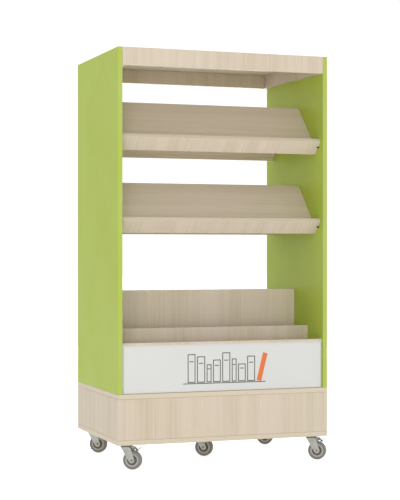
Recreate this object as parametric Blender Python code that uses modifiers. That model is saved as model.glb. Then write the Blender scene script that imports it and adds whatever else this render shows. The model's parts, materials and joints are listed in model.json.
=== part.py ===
"""Double-sided display cart for books, on five swivel casters.

Frame: metres, +Z up, origin on the floor under the middle of the cart, +X to the right and the
front of the cart facing -Y. The cart is the same on its front and its rear side, apart from the
foot brakes, which only the two front casters have.

Build order: plinth box, side panels, top frame, sloping display shelves, stepped book bin with
its sign panels, casters.
"""

import math

import bmesh
import bpy
from mathutils import Matrix, Vector

# ----------------------------------------------------------------------------------------------
# Driving dimensions, in metres
# ----------------------------------------------------------------------------------------------

# Carcase
CART_WIDTH = 0.900
CART_DEPTH = 0.600
SIDE_PANEL_HEIGHT = 1.363
BASE_HEIGHT = 0.200
BOARD_THICKNESS = 0.019
EDGE_BREAK = 0.001        # chamfer along every board edge
JOINT_GAP = 0.0003        # left between two pieces that touch

# Top frame
TOP_PANEL_THICKNESS = 0.012
FASCIA_HEIGHT = 0.070

# Sloping display shelves
SHELF_TILT = math.radians(46.5)
LEDGE_REACH = 0.053       # how far a ledge stands out from the face of its display board
LEDGE_SETBACK = 0.0213    # ledge tip behind the front edges of the side panels
SHELF_CENTRE_GAP = 0.082  # between the backs of a front and a rear display board
UPPER_SHELF_DROP = 0.399  # top of the cart down to the lowest corner of an upper shelf
SHELF_PITCH = 0.330

# Book bin
BIN_FRONT_HEIGHT = 0.200
BIN_DIVIDER_HEIGHT = 0.250
BIN_CENTRE_HEIGHT = 0.400
BIN_SETBACK = 0.010

# Sign panels on the outer boards of the bin
SIGN_THICKNESS = 0.004
SIGN_RIM = 0.0006         # thickness left at the edges, below the bevel
SIGN_BEVEL_WIDTH = 0.0085
SIGN_END_CLEARANCE = 0.0005
SIGN_TOP_DROP = 0.0095
SIGN_FLOOR_GAP = 0.001

# Casters
WHEEL_RADIUS = 0.0375
CASTER_HEADROOM = 0.025   # top of the tyre up to the underside of the plinth
CASTER_TRAIL = 0.0256     # king pin axis to wheel axis
CASTER_TURN = math.radians(-32.5)
CASTER_INSET = 0.050
REAR_LEFT_END_INSET = 0.053
REAR_RIGHT_END_INSET = 0.076
CENTRE_CASTER = (-0.0055, 0.005)

PLATE_SIDE = 0.060
PLATE_THICKNESS = 0.0025
PLATE_CORNER_RADIUS = 0.006
PLATE_HOLE_RADIUS = 0.0032
PLATE_HOLE_INSET = 0.010
STUD_RADIUS = 0.005
STUD_HEAD_RADIUS = 0.0085
STUD_HEAD_HEIGHT = 0.003
RACE_RADIUS = 0.022
RACE_HEIGHT = 0.004
RUNNING_CLEARANCE = 0.0003

FORK_SHEET = 0.0025
FORK_SIDE_CLEARANCE = 0.002
FORK_LEG_END_RADIUS = 0.0115
FORK_FRONT_REACH = 0.0205  # fork top ahead of the king pin axis
FORK_BACK_REACH = 0.014    # top edge of a leg behind the king pin axis
YOKE_BACK_REACH = 0.020
LEG_SHOULDER_REACH = 0.023
LEG_SHOULDER_DROP = 0.007
SHEET_OFFSET = 0.0005      # keeps the faces of joined sheets from lying in one plane

TREAD_WIDTH = 0.025
TREAD_FLAT = 0.013
TYRE_SHOULDER = 0.0045
CORE_RIM_RADIUS = 0.028
CORE_RIM_WIDTH = 0.023
CORE_RECESS_RADIUS = 0.0195
CORE_WEB_THICKNESS = 0.009
HUB_RADIUS = 0.011
HUB_WIDTH = 0.027
AXLE_RADIUS = 0.004
AXLE_HEAD_RADIUS = 0.0062
AXLE_HEAD_HEIGHT = 0.0022

# Foot brake
BRAKE_PIVOT_REACH = 0.034
BRAKE_PIVOT_DROP = 0.0086  # below the top of the fork
BRAKE_EAR_SPREAD = 0.0063  # middle of the caster to the inner face of an ear
BRAKE_EAR_SHEET = 0.002
BRAKE_EAR_RADIUS = 0.0062
BRAKE_EAR_ROOT = 0.010     # where an ear starts, behind the king pin axis
BRAKE_PIN_RADIUS = 0.002
BRAKE_PIN_HEAD_RADIUS = 0.0035
BRAKE_PIN_HEAD_HEIGHT = 0.0015
BRAKE_BARREL_RADIUS = 0.0042
PEDAL_DIP_REACH = 0.013
PEDAL_DIP_DROP = 0.006
PEDAL_TIP_REACH = 0.028
PEDAL_TIP_RISE = 0.005
PEDAL_SHEET = 0.0022
PEDAL_WIDTH = 0.022
BARREL_ARC_START = math.radians(50.0)   # where the lever's upper side leaves the barrel
BARREL_ARC_SWEEP = math.radians(250.0)
BRAKE_STROKE = math.radians(12.0)       # turn of the pedal that brings the shoe to the tyre
SHOE_ANGLE = math.radians(25.0)         # middle of the shoe behind the top of the tyre
SHOE_CLEARANCE = 0.0005                 # left to the tyre with the pedal down
SHOE_THICKNESS = 0.0035
SHOE_LENGTH = 0.011

# Facets of the round pieces
WHEEL_STEPS = 28
SMALL_STEPS = 16
ARC_STEPS = 8
SHOULDER_STEPS = 2

# Colours as they are seen (0 to 255), with roughness and metallic value
FINISHES = {
    "green_laminate": ((174, 190, 101), 0.45, 0.0),
    "pale_wood": ((206, 192, 168), 0.50, 0.0),
    "sign_white": ((226, 226, 222), 0.20, 0.0),
    "zinc_steel": ((190, 190, 182), 0.38, 0.9),
    "dark_steel": ((70, 68, 62), 0.50, 0.8),
    "wheel_grey": ((166, 164, 158), 0.50, 0.0),
    "tyre_grey": ((128, 128, 126), 0.75, 0.0),
}

# ----------------------------------------------------------------------------------------------
# Levels and places that follow from the driving dimensions
# ----------------------------------------------------------------------------------------------

CASTER_HEIGHT = 2 * WHEEL_RADIUS + CASTER_HEADROOM
DECK_Z = CASTER_HEIGHT + BASE_HEIGHT
TOP_Z = DECK_Z + SIDE_PANEL_HEIGHT
HALF_WIDTH = CART_WIDTH / 2
HALF_DEPTH = CART_DEPTH / 2
INNER_HALF_WIDTH = HALF_WIDTH - BOARD_THICKNESS - JOINT_GAP

PLATE_TOP_Z = CASTER_HEIGHT - JOINT_GAP
RACE_TOP_Z = PLATE_TOP_Z - PLATE_THICKNESS - RUNNING_CLEARANCE
FORK_TOP_Z = RACE_TOP_Z - RACE_HEIGHT - RUNNING_CLEARANCE
LEG_INNER = TREAD_WIDTH / 2 + FORK_SIDE_CLEARANCE
LEG_OUTER = LEG_INNER + FORK_SHEET
BRAKE_PIVOT_Z = FORK_TOP_Z - BRAKE_PIVOT_DROP


# ----------------------------------------------------------------------------------------------
# Collections, materials and small helpers
# ----------------------------------------------------------------------------------------------

def clear_scene():
    """Remove every object of the open scene."""
    for obj in list(bpy.data.objects):
        bpy.data.objects.remove(obj, do_unlink=True)


def new_collection(name):
    """A fresh collection under the scene's own."""
    collection = bpy.data.collections.new(name)
    bpy.context.scene.collection.children.link(collection)
    return collection


def linear(channel):
    """A seen colour channel (0 to 255) as a linear value."""
    value = channel / 255.0
    if value <= 0.04045:
        return value / 12.92
    return ((value + 0.055) / 1.055) ** 2.4


def finish_material(part_name, finish):
    """The part's own material, in one of the finishes."""
    colour, roughness, metallic = FINISHES[finish]
    material = bpy.data.materials.new(part_name + "_" + finish)
    material.use_nodes = True
    shader = material.node_tree.nodes["Principled BSDF"]
    shader.inputs["Base Color"].default_value = [linear(c) for c in colour] + [1.0]
    shader.inputs["Roughness"].default_value = roughness
    shader.inputs["Metallic"].default_value = metallic
    return material


def add_part(name, mesh, finish, parent=None, matrix=None):
    """Link a mesh as a named part, in its finish and at its place."""
    obj = bpy.data.objects.new(name, mesh)
    PARTS.objects.link(obj)
    mesh.materials.clear()
    mesh.materials.append(finish_material(name, finish))
    if matrix is not None:
        obj.matrix_local = matrix
    if parent is not None:
        obj.parent = parent
    return obj


def add_cutter(name, mesh, parent=None, matrix=None):
    """Link a mesh as a tool that a Boolean modifier reads."""
    obj = bpy.data.objects.new(name, mesh)
    CUTTERS.objects.link(obj)
    obj.display_type = "WIRE"
    obj.hide_render = True
    if matrix is not None:
        obj.matrix_local = matrix
    if parent is not None:
        obj.parent = parent
    return obj


def join_solid(obj, tool):
    """Boolean union of a part with a tool."""
    modifier = obj.modifiers.new("Join " + tool.name, "BOOLEAN")
    modifier.operation = "UNION"
    modifier.object = tool


def add_empty(name, location, parent=None, turn=0.0):
    """An empty that carries the pieces which turn about one axis."""
    empty = bpy.data.objects.new(name, None)
    PARTS.objects.link(empty)
    empty.empty_display_size = 0.03
    empty.location = location
    empty.rotation_euler = (0.0, 0.0, turn)
    if parent is not None:
        empty.parent = parent
    return empty


def box_mesh(name, x_span, y_span, z_span):
    """A box between three pairs of limits."""
    mesh = bpy.data.meshes.new(name)
    bm = bmesh.new()
    bmesh.ops.create_cube(bm, size=1.0)
    spans = (x_span, y_span, z_span)
    size = Matrix.Diagonal([high - low for low, high in spans] + [1.0])
    centre = Matrix.Translation([(low + high) / 2 for low, high in spans])
    bmesh.ops.transform(bm, matrix=centre @ size, verts=bm.verts)
    bm.to_mesh(mesh)
    bm.free()
    return mesh


def board(name, x_span, y_span, z_span, finish="pale_wood", edge=EDGE_BREAK, frame=Matrix()):
    """A board with chamfered edges between limits in a frame, its origin at its middle."""
    spans = (x_span, y_span, z_span)
    centre = Matrix.Translation([(low + high) / 2 for low, high in spans])
    halves = [(high - low) / 2 for low, high in spans]
    mesh = box_mesh(name, *[(-half, half) for half in halves])
    obj = add_part(name, mesh, finish, matrix=frame @ centre)
    modifier = obj.modifiers.new("Eased edges", "BEVEL")
    modifier.width = edge
    modifier.segments = 1
    modifier.limit_method = "ANGLE"


def circle_points(centre, radius, steps, start=0.0, sweep=2 * math.pi):
    """Points along an arc; a full circle leaves out its repeated last point."""
    full = abs(sweep) >= 2 * math.pi - 1e-9
    count = steps if full else steps + 1
    angles = [start + sweep * i / steps for i in range(count)]
    return [(centre[0] + radius * math.cos(a), centre[1] + radius * math.sin(a)) for a in angles]


def outline_mesh(name, outlines, thickness):
    """A flat plate from closed outlines in its XY plane (a hole is an outline inside another)."""
    curve = bpy.data.curves.new(name, "CURVE")
    curve.dimensions = "2D"
    curve.fill_mode = "BOTH"
    curve.extrude = thickness / 2
    for outline in outlines:
        spline = curve.splines.new("POLY")
        spline.points.add(len(outline) - 1)
        for point, (x, y) in zip(spline.points, outline):
            point.co = (x, y, 0.0, 1.0)
        spline.use_cyclic_u = True
    carrier = bpy.data.objects.new(name + "_outline", curve)
    CUTTERS.objects.link(carrier)
    bpy.context.view_layer.update()
    evaluated = carrier.evaluated_get(bpy.context.evaluated_depsgraph_get())
    mesh = bpy.data.meshes.new_from_object(evaluated)
    bpy.data.objects.remove(carrier, do_unlink=True)
    bm = bmesh.new()
    bm.from_mesh(mesh)
    bmesh.ops.remove_doubles(bm, verts=bm.verts, dist=1e-6)
    bmesh.ops.recalc_face_normals(bm, faces=bm.faces)
    bm.to_mesh(mesh)
    bm.free()
    mesh.name = name
    return mesh


def turn_profile(obj, steps):
    """Screw modifier that turns a profile in the XZ plane once about Z."""
    modifier = obj.modifiers.new("Turned", "SCREW")
    modifier.axis = "Z"
    modifier.angle = 2 * math.pi
    modifier.steps = steps
    modifier.render_steps = steps
    modifier.use_merge_vertices = True
    modifier.merge_threshold = 0.00005


def profile_mesh(name, points, closed):
    """Edges through points (radius, height), a ring's profile closed on itself."""
    edges = [(i, i + 1) for i in range(len(points) - 1)]
    if closed:
        edges.append((len(points) - 1, 0))
    mesh = bpy.data.meshes.new(name)
    mesh.from_pydata([(r, 0.0, z) for r, z in points], edges, [])
    return mesh


def shade_round(obj):
    """Smooth shading on a turned part."""
    obj.modifiers["Turned"].use_smooth_shade = True


def outer_radius(radius, steps):
    """Corner radius of a many-sided ring whose flats lie at the given radius."""
    return radius / math.cos(math.pi / steps)


# ----------------------------------------------------------------------------------------------
# Carcase
# ----------------------------------------------------------------------------------------------

def build_base():
    """Plinth box: floor and deck over the full size, with four skirts standing between them."""
    floor_top = CASTER_HEIGHT + BOARD_THICKNESS
    deck_bottom = DECK_Z - BOARD_THICKNESS
    full_x = (-HALF_WIDTH, HALF_WIDTH)
    full_y = (-HALF_DEPTH, HALF_DEPTH)
    skirt_z = (floor_top + JOINT_GAP, deck_bottom - JOINT_GAP)
    board("base_floor", full_x, full_y, (CASTER_HEIGHT, floor_top))
    board("base_deck", full_x, full_y, (deck_bottom, DECK_Z))
    board("base_front_skirt", full_x, (-HALF_DEPTH, -HALF_DEPTH + BOARD_THICKNESS), skirt_z)
    board("base_rear_skirt", full_x, (HALF_DEPTH - BOARD_THICKNESS, HALF_DEPTH), skirt_z)
    side_reach = HALF_DEPTH - BOARD_THICKNESS - JOINT_GAP
    side_y = (-side_reach, side_reach)
    board("base_left_skirt", (-HALF_WIDTH, -HALF_WIDTH + BOARD_THICKNESS), side_y, skirt_z)
    board("base_right_skirt", (HALF_WIDTH - BOARD_THICKNESS, HALF_WIDTH), side_y, skirt_z)


def build_side_panels():
    """Two full-depth panels that stand on the deck."""
    y_span = (-HALF_DEPTH, HALF_DEPTH)
    z_span = (DECK_Z + JOINT_GAP, TOP_Z)
    inner = HALF_WIDTH - BOARD_THICKNESS
    board("left_side_panel", (-HALF_WIDTH, -inner), y_span, z_span, "green_laminate")
    board("right_side_panel", (inner, HALF_WIDTH), y_span, z_span, "green_laminate")


def build_top():
    """Thin top panel between two fascias, with an end rail under it at each side panel."""
    x_span = (-INNER_HALF_WIDTH, INNER_HALF_WIDTH)
    fascia_inner = HALF_DEPTH - BOARD_THICKNESS
    fascia_z = (TOP_Z - FASCIA_HEIGHT, TOP_Z)
    board("front_top_fascia", x_span, (-HALF_DEPTH, -fascia_inner), fascia_z)
    board("rear_top_fascia", x_span, (fascia_inner, HALF_DEPTH), fascia_z)
    panel_reach = fascia_inner - JOINT_GAP
    panel_y = (-panel_reach, panel_reach)
    panel_bottom = TOP_Z - TOP_PANEL_THICKNESS
    board("top_panel", x_span, panel_y, (panel_bottom, TOP_Z))
    rail_z = (TOP_Z - FASCIA_HEIGHT, panel_bottom - JOINT_GAP)
    rail_inner = INNER_HALF_WIDTH - BOARD_THICKNESS
    board("left_top_rail", (-INNER_HALF_WIDTH, -rail_inner), panel_y, rail_z)
    board("right_top_rail", (rail_inner, INNER_HALF_WIDTH), panel_y, rail_z)


# ----------------------------------------------------------------------------------------------
# Sloping display shelves
# ----------------------------------------------------------------------------------------------

def ledge_height():
    """Full height of a ledge board: it covers the lower end of the display board."""
    return LEDGE_REACH + BOARD_THICKNESS


def display_length():
    """Length of a display board, from its ledge up to the gap in the middle of the cart.

    Seen from the end, the ledge's tip lies LEDGE_SETBACK behind the front edge, and the back
    corner of the board's upper end lies half the centre gap from the middle of the cart.
    """
    run = HALF_DEPTH - SHELF_CENTRE_GAP / 2 - LEDGE_SETBACK
    run -= ledge_height() * math.sin(SHELF_TILT)
    return run / math.cos(SHELF_TILT) - BOARD_THICKNESS - JOINT_GAP


def shelf_matrix(level_z, side):
    """Frame of one shelf: X along the cart, Y up the slope, Z out of the display board's face.

    Its origin is the lowest corner, under the ledge. side is -1 for the front and 1 for the rear,
    which is the front shelf turned half a turn about the cart's middle.
    """
    corner_y = -HALF_DEPTH + LEDGE_SETBACK + ledge_height() * math.sin(SHELF_TILT)
    tilt = Matrix.Rotation(SHELF_TILT, 4, "X")
    front = Matrix.Translation((0.0, corner_y, level_z)) @ tilt
    half_turn = 0.0 if side < 0 else math.pi
    return Matrix.Rotation(half_turn, 4, "Z") @ front


def build_shelves():
    """Two levels of sloping shelves on each side; a ledge board stands square to each slope."""
    levels = {"upper": TOP_Z - UPPER_SHELF_DROP}
    levels["lower"] = levels["upper"] - SHELF_PITCH
    x_span = (-INNER_HALF_WIDTH, INNER_HALF_WIDTH)
    sheet = (0.0, BOARD_THICKNESS)
    start = BOARD_THICKNESS + JOINT_GAP
    slope = (start, start + display_length())
    for level, corner_z in levels.items():
        for place, side in (("front", -1), ("rear", 1)):
            name = level + "_" + place
            frame = shelf_matrix(corner_z, side)
            board(name + "_display_board", x_span, slope, sheet, frame=frame)
            board(name + "_ledge_board", x_span, sheet, (0.0, ledge_height()), frame=frame)


# ----------------------------------------------------------------------------------------------
# Book bin
# ----------------------------------------------------------------------------------------------

def build_bin():
    """Stepped bin on the deck: the boards rise towards the middle of the cart."""
    x_span = (-INNER_HALF_WIDTH, INNER_HALF_WIDTH)
    floor_z = DECK_Z + JOINT_GAP
    half_board = BOARD_THICKNESS / 2
    centre_z = (floor_z, DECK_Z + BIN_CENTRE_HEIGHT)
    board("bin_centre_board", x_span, (-half_board, half_board), centre_z)
    outer_mid = HALF_DEPTH - BIN_SETBACK - half_board
    spots = ((outer_mid, BIN_FRONT_HEIGHT, "board"), (outer_mid / 2, BIN_DIVIDER_HEIGHT, "divider"))
    for middle, height, kind in spots:
        for place, side in (("front", -1), ("rear", 1)):
            mid_y = side * middle
            y_span = (mid_y - half_board, mid_y + half_board)
            board(f"bin_{place}_{kind}", x_span, y_span, (floor_z, DECK_Z + height))


def sign_mesh(name, half_x, half_z):
    """A panel whose face is smaller than its rim: its top and ends slope, its foot is square."""
    mesh = box_mesh(name, (-half_x, half_x), (-SIGN_RIM, 0.0), (-half_z, half_z))
    bm = bmesh.new()
    bm.from_mesh(mesh)
    front = min(bm.faces, key=lambda face: face.calc_center_median().y)
    bmesh.ops.inset_region(bm, faces=[front], use_boundary=True, use_even_offset=True,
                           thickness=SIGN_BEVEL_WIDTH, depth=SIGN_THICKNESS - SIGN_RIM)
    for vert in front.verts:
        if vert.co.z < 0.0:
            vert.co.z = -half_z
    bm.to_mesh(mesh)
    bm.free()
    return mesh


def build_sign_panels():
    """White panel on the outer face of each outer bin board."""
    half_x = HALF_WIDTH - BOARD_THICKNESS - SIGN_END_CLEARANCE
    low_z = DECK_Z + SIGN_FLOOR_GAP
    high_z = DECK_Z + BIN_FRONT_HEIGHT - SIGN_TOP_DROP
    back_y = JOINT_GAP + HALF_DEPTH - BIN_SETBACK
    seat = Matrix.Translation((0.0, -back_y, (low_z + high_z) / 2))
    for place, turn in (("front", 0.0), ("rear", math.pi)):
        name = place + "_sign_panel"
        mesh = sign_mesh(name, half_x, (high_z - low_z) / 2)
        add_part(name, mesh, "sign_white", matrix=Matrix.Rotation(turn, 4, "Z") @ seat)


# ----------------------------------------------------------------------------------------------
# Casters. Each is built in its own frame: the origin on the floor under the king pin, +X along
# the trail, +Y along the axle.
# ----------------------------------------------------------------------------------------------

LAY_TO_AXLE = Matrix.Rotation(math.pi / 2, 4, "X")   # turns a piece's Z onto the axle


def rounded_square(side, radius):
    """Corner arcs of a rounded square about the origin."""
    reach = side / 2 - radius
    points = []
    for quarter, (sx, sy) in enumerate(((1, 1), (-1, 1), (-1, -1), (1, -1))):
        centre = (sx * reach, sy * reach)
        points += circle_points(centre, radius, ARC_STEPS // 2, quarter * math.pi / 2, math.pi / 2)
    return points


def build_plate(name, kingpin):
    """Top plate with four screw holes and the king stud, whose head holds the fork."""
    hole_reach = PLATE_SIDE / 2 - PLATE_HOLE_INSET
    outlines = [rounded_square(PLATE_SIDE, PLATE_CORNER_RADIUS)]
    for sx, sy in ((1, 1), (-1, 1), (-1, -1), (1, -1)):
        outlines.append(circle_points((sx * hole_reach, sy * hole_reach), PLATE_HOLE_RADIUS, ARC_STEPS))
    mesh = outline_mesh(name, outlines, PLATE_THICKNESS)
    x, y = kingpin
    middle = Matrix.Translation((x, y, PLATE_TOP_Z - PLATE_THICKNESS / 2))
    plate = add_part(name, mesh, "zinc_steel", matrix=middle)
    head_top = FORK_TOP_Z - FORK_SHEET - RUNNING_CLEARANCE
    root = PLATE_TOP_Z - PLATE_THICKNESS / 2
    stud_points = [
        (0.0, root),
        (STUD_RADIUS, root),
        (STUD_RADIUS, head_top),
        (STUD_HEAD_RADIUS, head_top),
        (STUD_HEAD_RADIUS, head_top - STUD_HEAD_HEIGHT),
        (0.0, head_top - STUD_HEAD_HEIGHT),
    ]
    stud_mesh = profile_mesh(name + "_stud", stud_points, closed=False)
    stud = add_cutter(name + "_stud", stud_mesh, matrix=Matrix.Translation((x, y, 0.0)))
    turn_profile(stud, SMALL_STEPS)
    join_solid(plate, stud)


def build_race(name, kingpin):
    """Ball race between the plate and the fork, a turned ring about the king stud."""
    bore = STUD_RADIUS + RUNNING_CLEARANCE
    lip = RACE_HEIGHT / 4
    bottom = RACE_TOP_Z - RACE_HEIGHT
    points = [
        (RACE_RADIUS - lip, RACE_TOP_Z),
        (RACE_RADIUS, RACE_TOP_Z - lip),
        (RACE_RADIUS, bottom + lip),
        (RACE_RADIUS - lip, bottom),
        (bore, bottom),
        (bore, RACE_TOP_Z),
    ]
    x, y = kingpin
    mesh = profile_mesh(name, points, closed=True)
    race = add_part(name, mesh, "dark_steel", matrix=Matrix.Translation((x, y, 0.0)))
    turn_profile(race, SMALL_STEPS)
    shade_round(race)


def leg_outline():
    """Side view of a fork leg, (trail, height): a tapering leg with a round end at the axle."""
    axle = (CASTER_TRAIL, WHEEL_RADIUS)
    top = FORK_TOP_Z - SHEET_OFFSET
    nose = (-FORK_FRONT_REACH, top)
    shoulder = (LEG_SHOULDER_REACH, FORK_TOP_Z - LEG_SHOULDER_DROP)
    start = tangent_angle(nose, axle, -1)
    end = tangent_angle(shoulder, axle, 1)
    if end < start:
        end += 2 * math.pi
    arc = circle_points(axle, FORK_LEG_END_RADIUS, ARC_STEPS, start, end - start)
    return [nose] + arc + [shoulder, (FORK_BACK_REACH, top)]


def tangent_angle(point, centre, side):
    """Angle at the centre of the point where a line from outside touches the leg's round end."""
    dx = point[0] - centre[0]
    dy = point[1] - centre[1]
    spread = math.acos(FORK_LEG_END_RADIUS / math.hypot(dx, dy))
    return math.atan2(dy, dx) - side * spread


def ear_outline():
    """Side view of a brake ear, from under the fork's top out to the brake pivot."""
    pivot = (BRAKE_PIVOT_REACH, BRAKE_PIVOT_Z)
    top = FORK_TOP_Z - SHEET_OFFSET
    root_low = FORK_TOP_Z - FORK_SHEET - BRAKE_EAR_RADIUS
    arc = circle_points(pivot, BRAKE_EAR_RADIUS, ARC_STEPS, -math.pi / 2, math.pi)
    return [(BRAKE_EAR_ROOT, top), (BRAKE_EAR_ROOT, root_low)] + arc + [(YOKE_BACK_REACH, top)]


def build_fork(name, swivel, braked):
    """Pressed fork: a top with a hole for the king stud, two legs and, with a brake, two ears."""
    half = LEG_OUTER - SHEET_OFFSET
    front = -FORK_FRONT_REACH + SHEET_OFFSET
    rim = [(front, -half), (YOKE_BACK_REACH, -half), (YOKE_BACK_REACH, half), (front, half)]
    bore = STUD_RADIUS + RUNNING_CLEARANCE
    hole = circle_points((0.0, 0.0), outer_radius(bore, SMALL_STEPS), SMALL_STEPS)
    mesh = outline_mesh(name, [rim, hole], FORK_SHEET)
    middle = Matrix.Translation((0.0, 0.0, FORK_TOP_Z - FORK_SHEET / 2))
    mesh.transform(middle)
    fork = add_part(name, mesh, "zinc_steel", parent=swivel)

    axle_bore = outer_radius(AXLE_RADIUS + JOINT_GAP, SMALL_STEPS)
    axle_hole = circle_points((CASTER_TRAIL, WHEEL_RADIUS), axle_bore, SMALL_STEPS)
    pin_bore = outer_radius(BRAKE_PIN_RADIUS + RUNNING_CLEARANCE, ARC_STEPS)
    pin_hole = circle_points((BRAKE_PIVOT_REACH, BRAKE_PIVOT_Z), pin_bore, ARC_STEPS)
    for side in (-1, 1):
        leg = outline_mesh(name + "_leg", [leg_outline(), axle_hole], FORK_SHEET)
        offset = side * (LEG_INNER + FORK_SHEET / 2)
        leg.transform(Matrix.Translation((0.0, offset, 0.0)) @ LAY_TO_AXLE)
        join_solid(fork, add_cutter(f"{name}_leg_{side}", leg, parent=swivel))
        if braked:
            ear = outline_mesh(name + "_ear", [ear_outline(), pin_hole], BRAKE_EAR_SHEET)
            offset = side * (BRAKE_EAR_SPREAD + BRAKE_EAR_SHEET / 2)
            ear.transform(Matrix.Translation((0.0, offset, 0.0)) @ LAY_TO_AXLE)
            join_solid(fork, add_cutter(f"{name}_ear_{side}", ear, parent=swivel))


def flat_down():
    """Turns a wheel piece half a facet, so that it stands on a flat and not on a corner."""
    return Matrix.Rotation(math.pi / WHEEL_STEPS, 4, "Z")


def build_core(name, wheel):
    """Wheel core: hub, thin web and rim, turned about the axle with a bore through the hub."""
    bore = outer_radius(AXLE_RADIUS + RUNNING_CLEARANCE, WHEEL_STEPS)
    rim = outer_radius(CORE_RIM_RADIUS, WHEEL_STEPS)
    half_rim = CORE_RIM_WIDTH / 2
    half_web = CORE_WEB_THICKNESS / 2
    half_hub = HUB_WIDTH / 2
    upper = [
        (bore, half_hub),
        (HUB_RADIUS, half_hub),
        (HUB_RADIUS, half_web),
        (CORE_RECESS_RADIUS, half_web),
        (CORE_RECESS_RADIUS, half_rim),
        (rim, half_rim),
    ]
    lower = [(r, -z) for r, z in reversed(upper)]
    mesh = profile_mesh(name, upper + lower, closed=True)
    core = add_part(name, mesh, "wheel_grey", parent=wheel, matrix=LAY_TO_AXLE @ flat_down())
    turn_profile(core, WHEEL_STEPS)
    shade_round(core)


def build_tyre(name, wheel):
    """Tyre: a ring round the core's rim with a flat tread and quarter-ellipse shoulders."""
    seat = outer_radius(CORE_RIM_RADIUS + JOINT_GAP, WHEEL_STEPS)
    tread = outer_radius(WHEEL_RADIUS, WHEEL_STEPS)
    half_width = TREAD_WIDTH / 2
    half_flat = TREAD_FLAT / 2
    upper = [(seat, half_width)]
    for step in range(SHOULDER_STEPS + 1):
        angle = math.pi / 2 * step / SHOULDER_STEPS
        radius = tread - TYRE_SHOULDER * (1 - math.sin(angle))
        upper.append((radius, half_flat + (half_width - half_flat) * math.cos(angle)))
    lower = [(r, -z) for r, z in reversed(upper)]
    mesh = profile_mesh(name, upper + lower, closed=True)
    tyre = add_part(name, mesh, "tyre_grey", parent=wheel, matrix=LAY_TO_AXLE @ flat_down())
    turn_profile(tyre, WHEEL_STEPS)
    shade_round(tyre)


def build_axle(name, swivel):
    """Axle pin through both legs and the hub, with a flat head outside each leg."""
    shank_end = LEG_OUTER + JOINT_GAP
    head_end = shank_end + AXLE_HEAD_HEIGHT
    upper = [
        (0.0, head_end),
        (AXLE_HEAD_RADIUS, head_end),
        (AXLE_HEAD_RADIUS, shank_end),
        (AXLE_RADIUS, shank_end),
    ]
    lower = [(r, -z) for r, z in reversed(upper)]
    mesh = profile_mesh(name, upper + lower, closed=False)
    place = Matrix.Translation((CASTER_TRAIL, 0.0, WHEEL_RADIUS)) @ LAY_TO_AXLE
    axle = add_part(name, mesh, "dark_steel", parent=swivel, matrix=place)
    turn_profile(axle, SMALL_STEPS)
    shade_round(axle)


def pedal_outline():
    """Side view of the brake lever about its pivot: barrel, dip and rising foot plate."""
    half = PEDAL_SHEET / 2
    middle = (0.0, 0.0)
    barrel = circle_points(middle, BRAKE_BARREL_RADIUS, ARC_STEPS, BARREL_ARC_START, BARREL_ARC_SWEEP)
    dip = (PEDAL_DIP_REACH, -PEDAL_DIP_DROP)
    tip = (PEDAL_TIP_REACH, PEDAL_TIP_RISE)
    below = [(dip[0] - half, dip[1] - half), (dip[0] + half, dip[1] - half), (tip[0], tip[1] - half)]
    above = [(tip[0] - half, tip[1] + half), (dip[0], dip[1] + PEDAL_SHEET)]
    return barrel + below + above


def foot_plate_outline():
    """Side view of the part of the lever that widens into the foot plate."""
    half = PEDAL_SHEET / 2
    inner = SHEET_OFFSET
    dip = (PEDAL_DIP_REACH + 2 * half, -PEDAL_DIP_DROP + 2 * half)
    tip = (PEDAL_TIP_REACH + inner, PEDAL_TIP_RISE + inner)
    run = math.hypot(tip[0] - dip[0], tip[1] - dip[1])
    nx = -(tip[1] - dip[1]) / run * half
    ny = (tip[0] - dip[0]) / run * half
    return [
        (dip[0] - nx, dip[1] - ny),
        (tip[0] - nx, tip[1] - ny),
        (tip[0] + nx, tip[1] + ny),
        (dip[0] + nx, dip[1] + ny),
    ]


def shoe_outline():
    """Side view of the brake shoe and the web that carries it, about the brake pivot.

    The shoe's face is an arc about the wheel's axis when the pedal is down, and it is drawn here
    turned back by the pedal's stroke.
    """
    hub_x = CASTER_TRAIL - BRAKE_PIVOT_REACH
    hub_z = WHEEL_RADIUS - BRAKE_PIVOT_Z
    turn = Matrix.Rotation(BRAKE_STROKE, 2)
    hub = tuple(turn @ Vector((hub_x, hub_z)))
    inner = outer_radius(WHEEL_RADIUS, WHEEL_STEPS) + SHOE_CLEARANCE
    outer = inner + SHOE_THICKNESS
    spread = SHOE_LENGTH / 2 / inner
    face = math.pi / 2 - SHOE_ANGLE + BRAKE_STROKE
    low = circle_points(hub, inner, ARC_STEPS // 2, face + spread, -2 * spread)
    high = circle_points(hub, outer, ARC_STEPS // 2, face - spread, 2 * spread)
    web = [(-BRAKE_BARREL_RADIUS / 2, 0.0)]
    return low + high[:2] + [(BRAKE_BARREL_RADIUS, 0.0)] + web + high[-1:]


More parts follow.
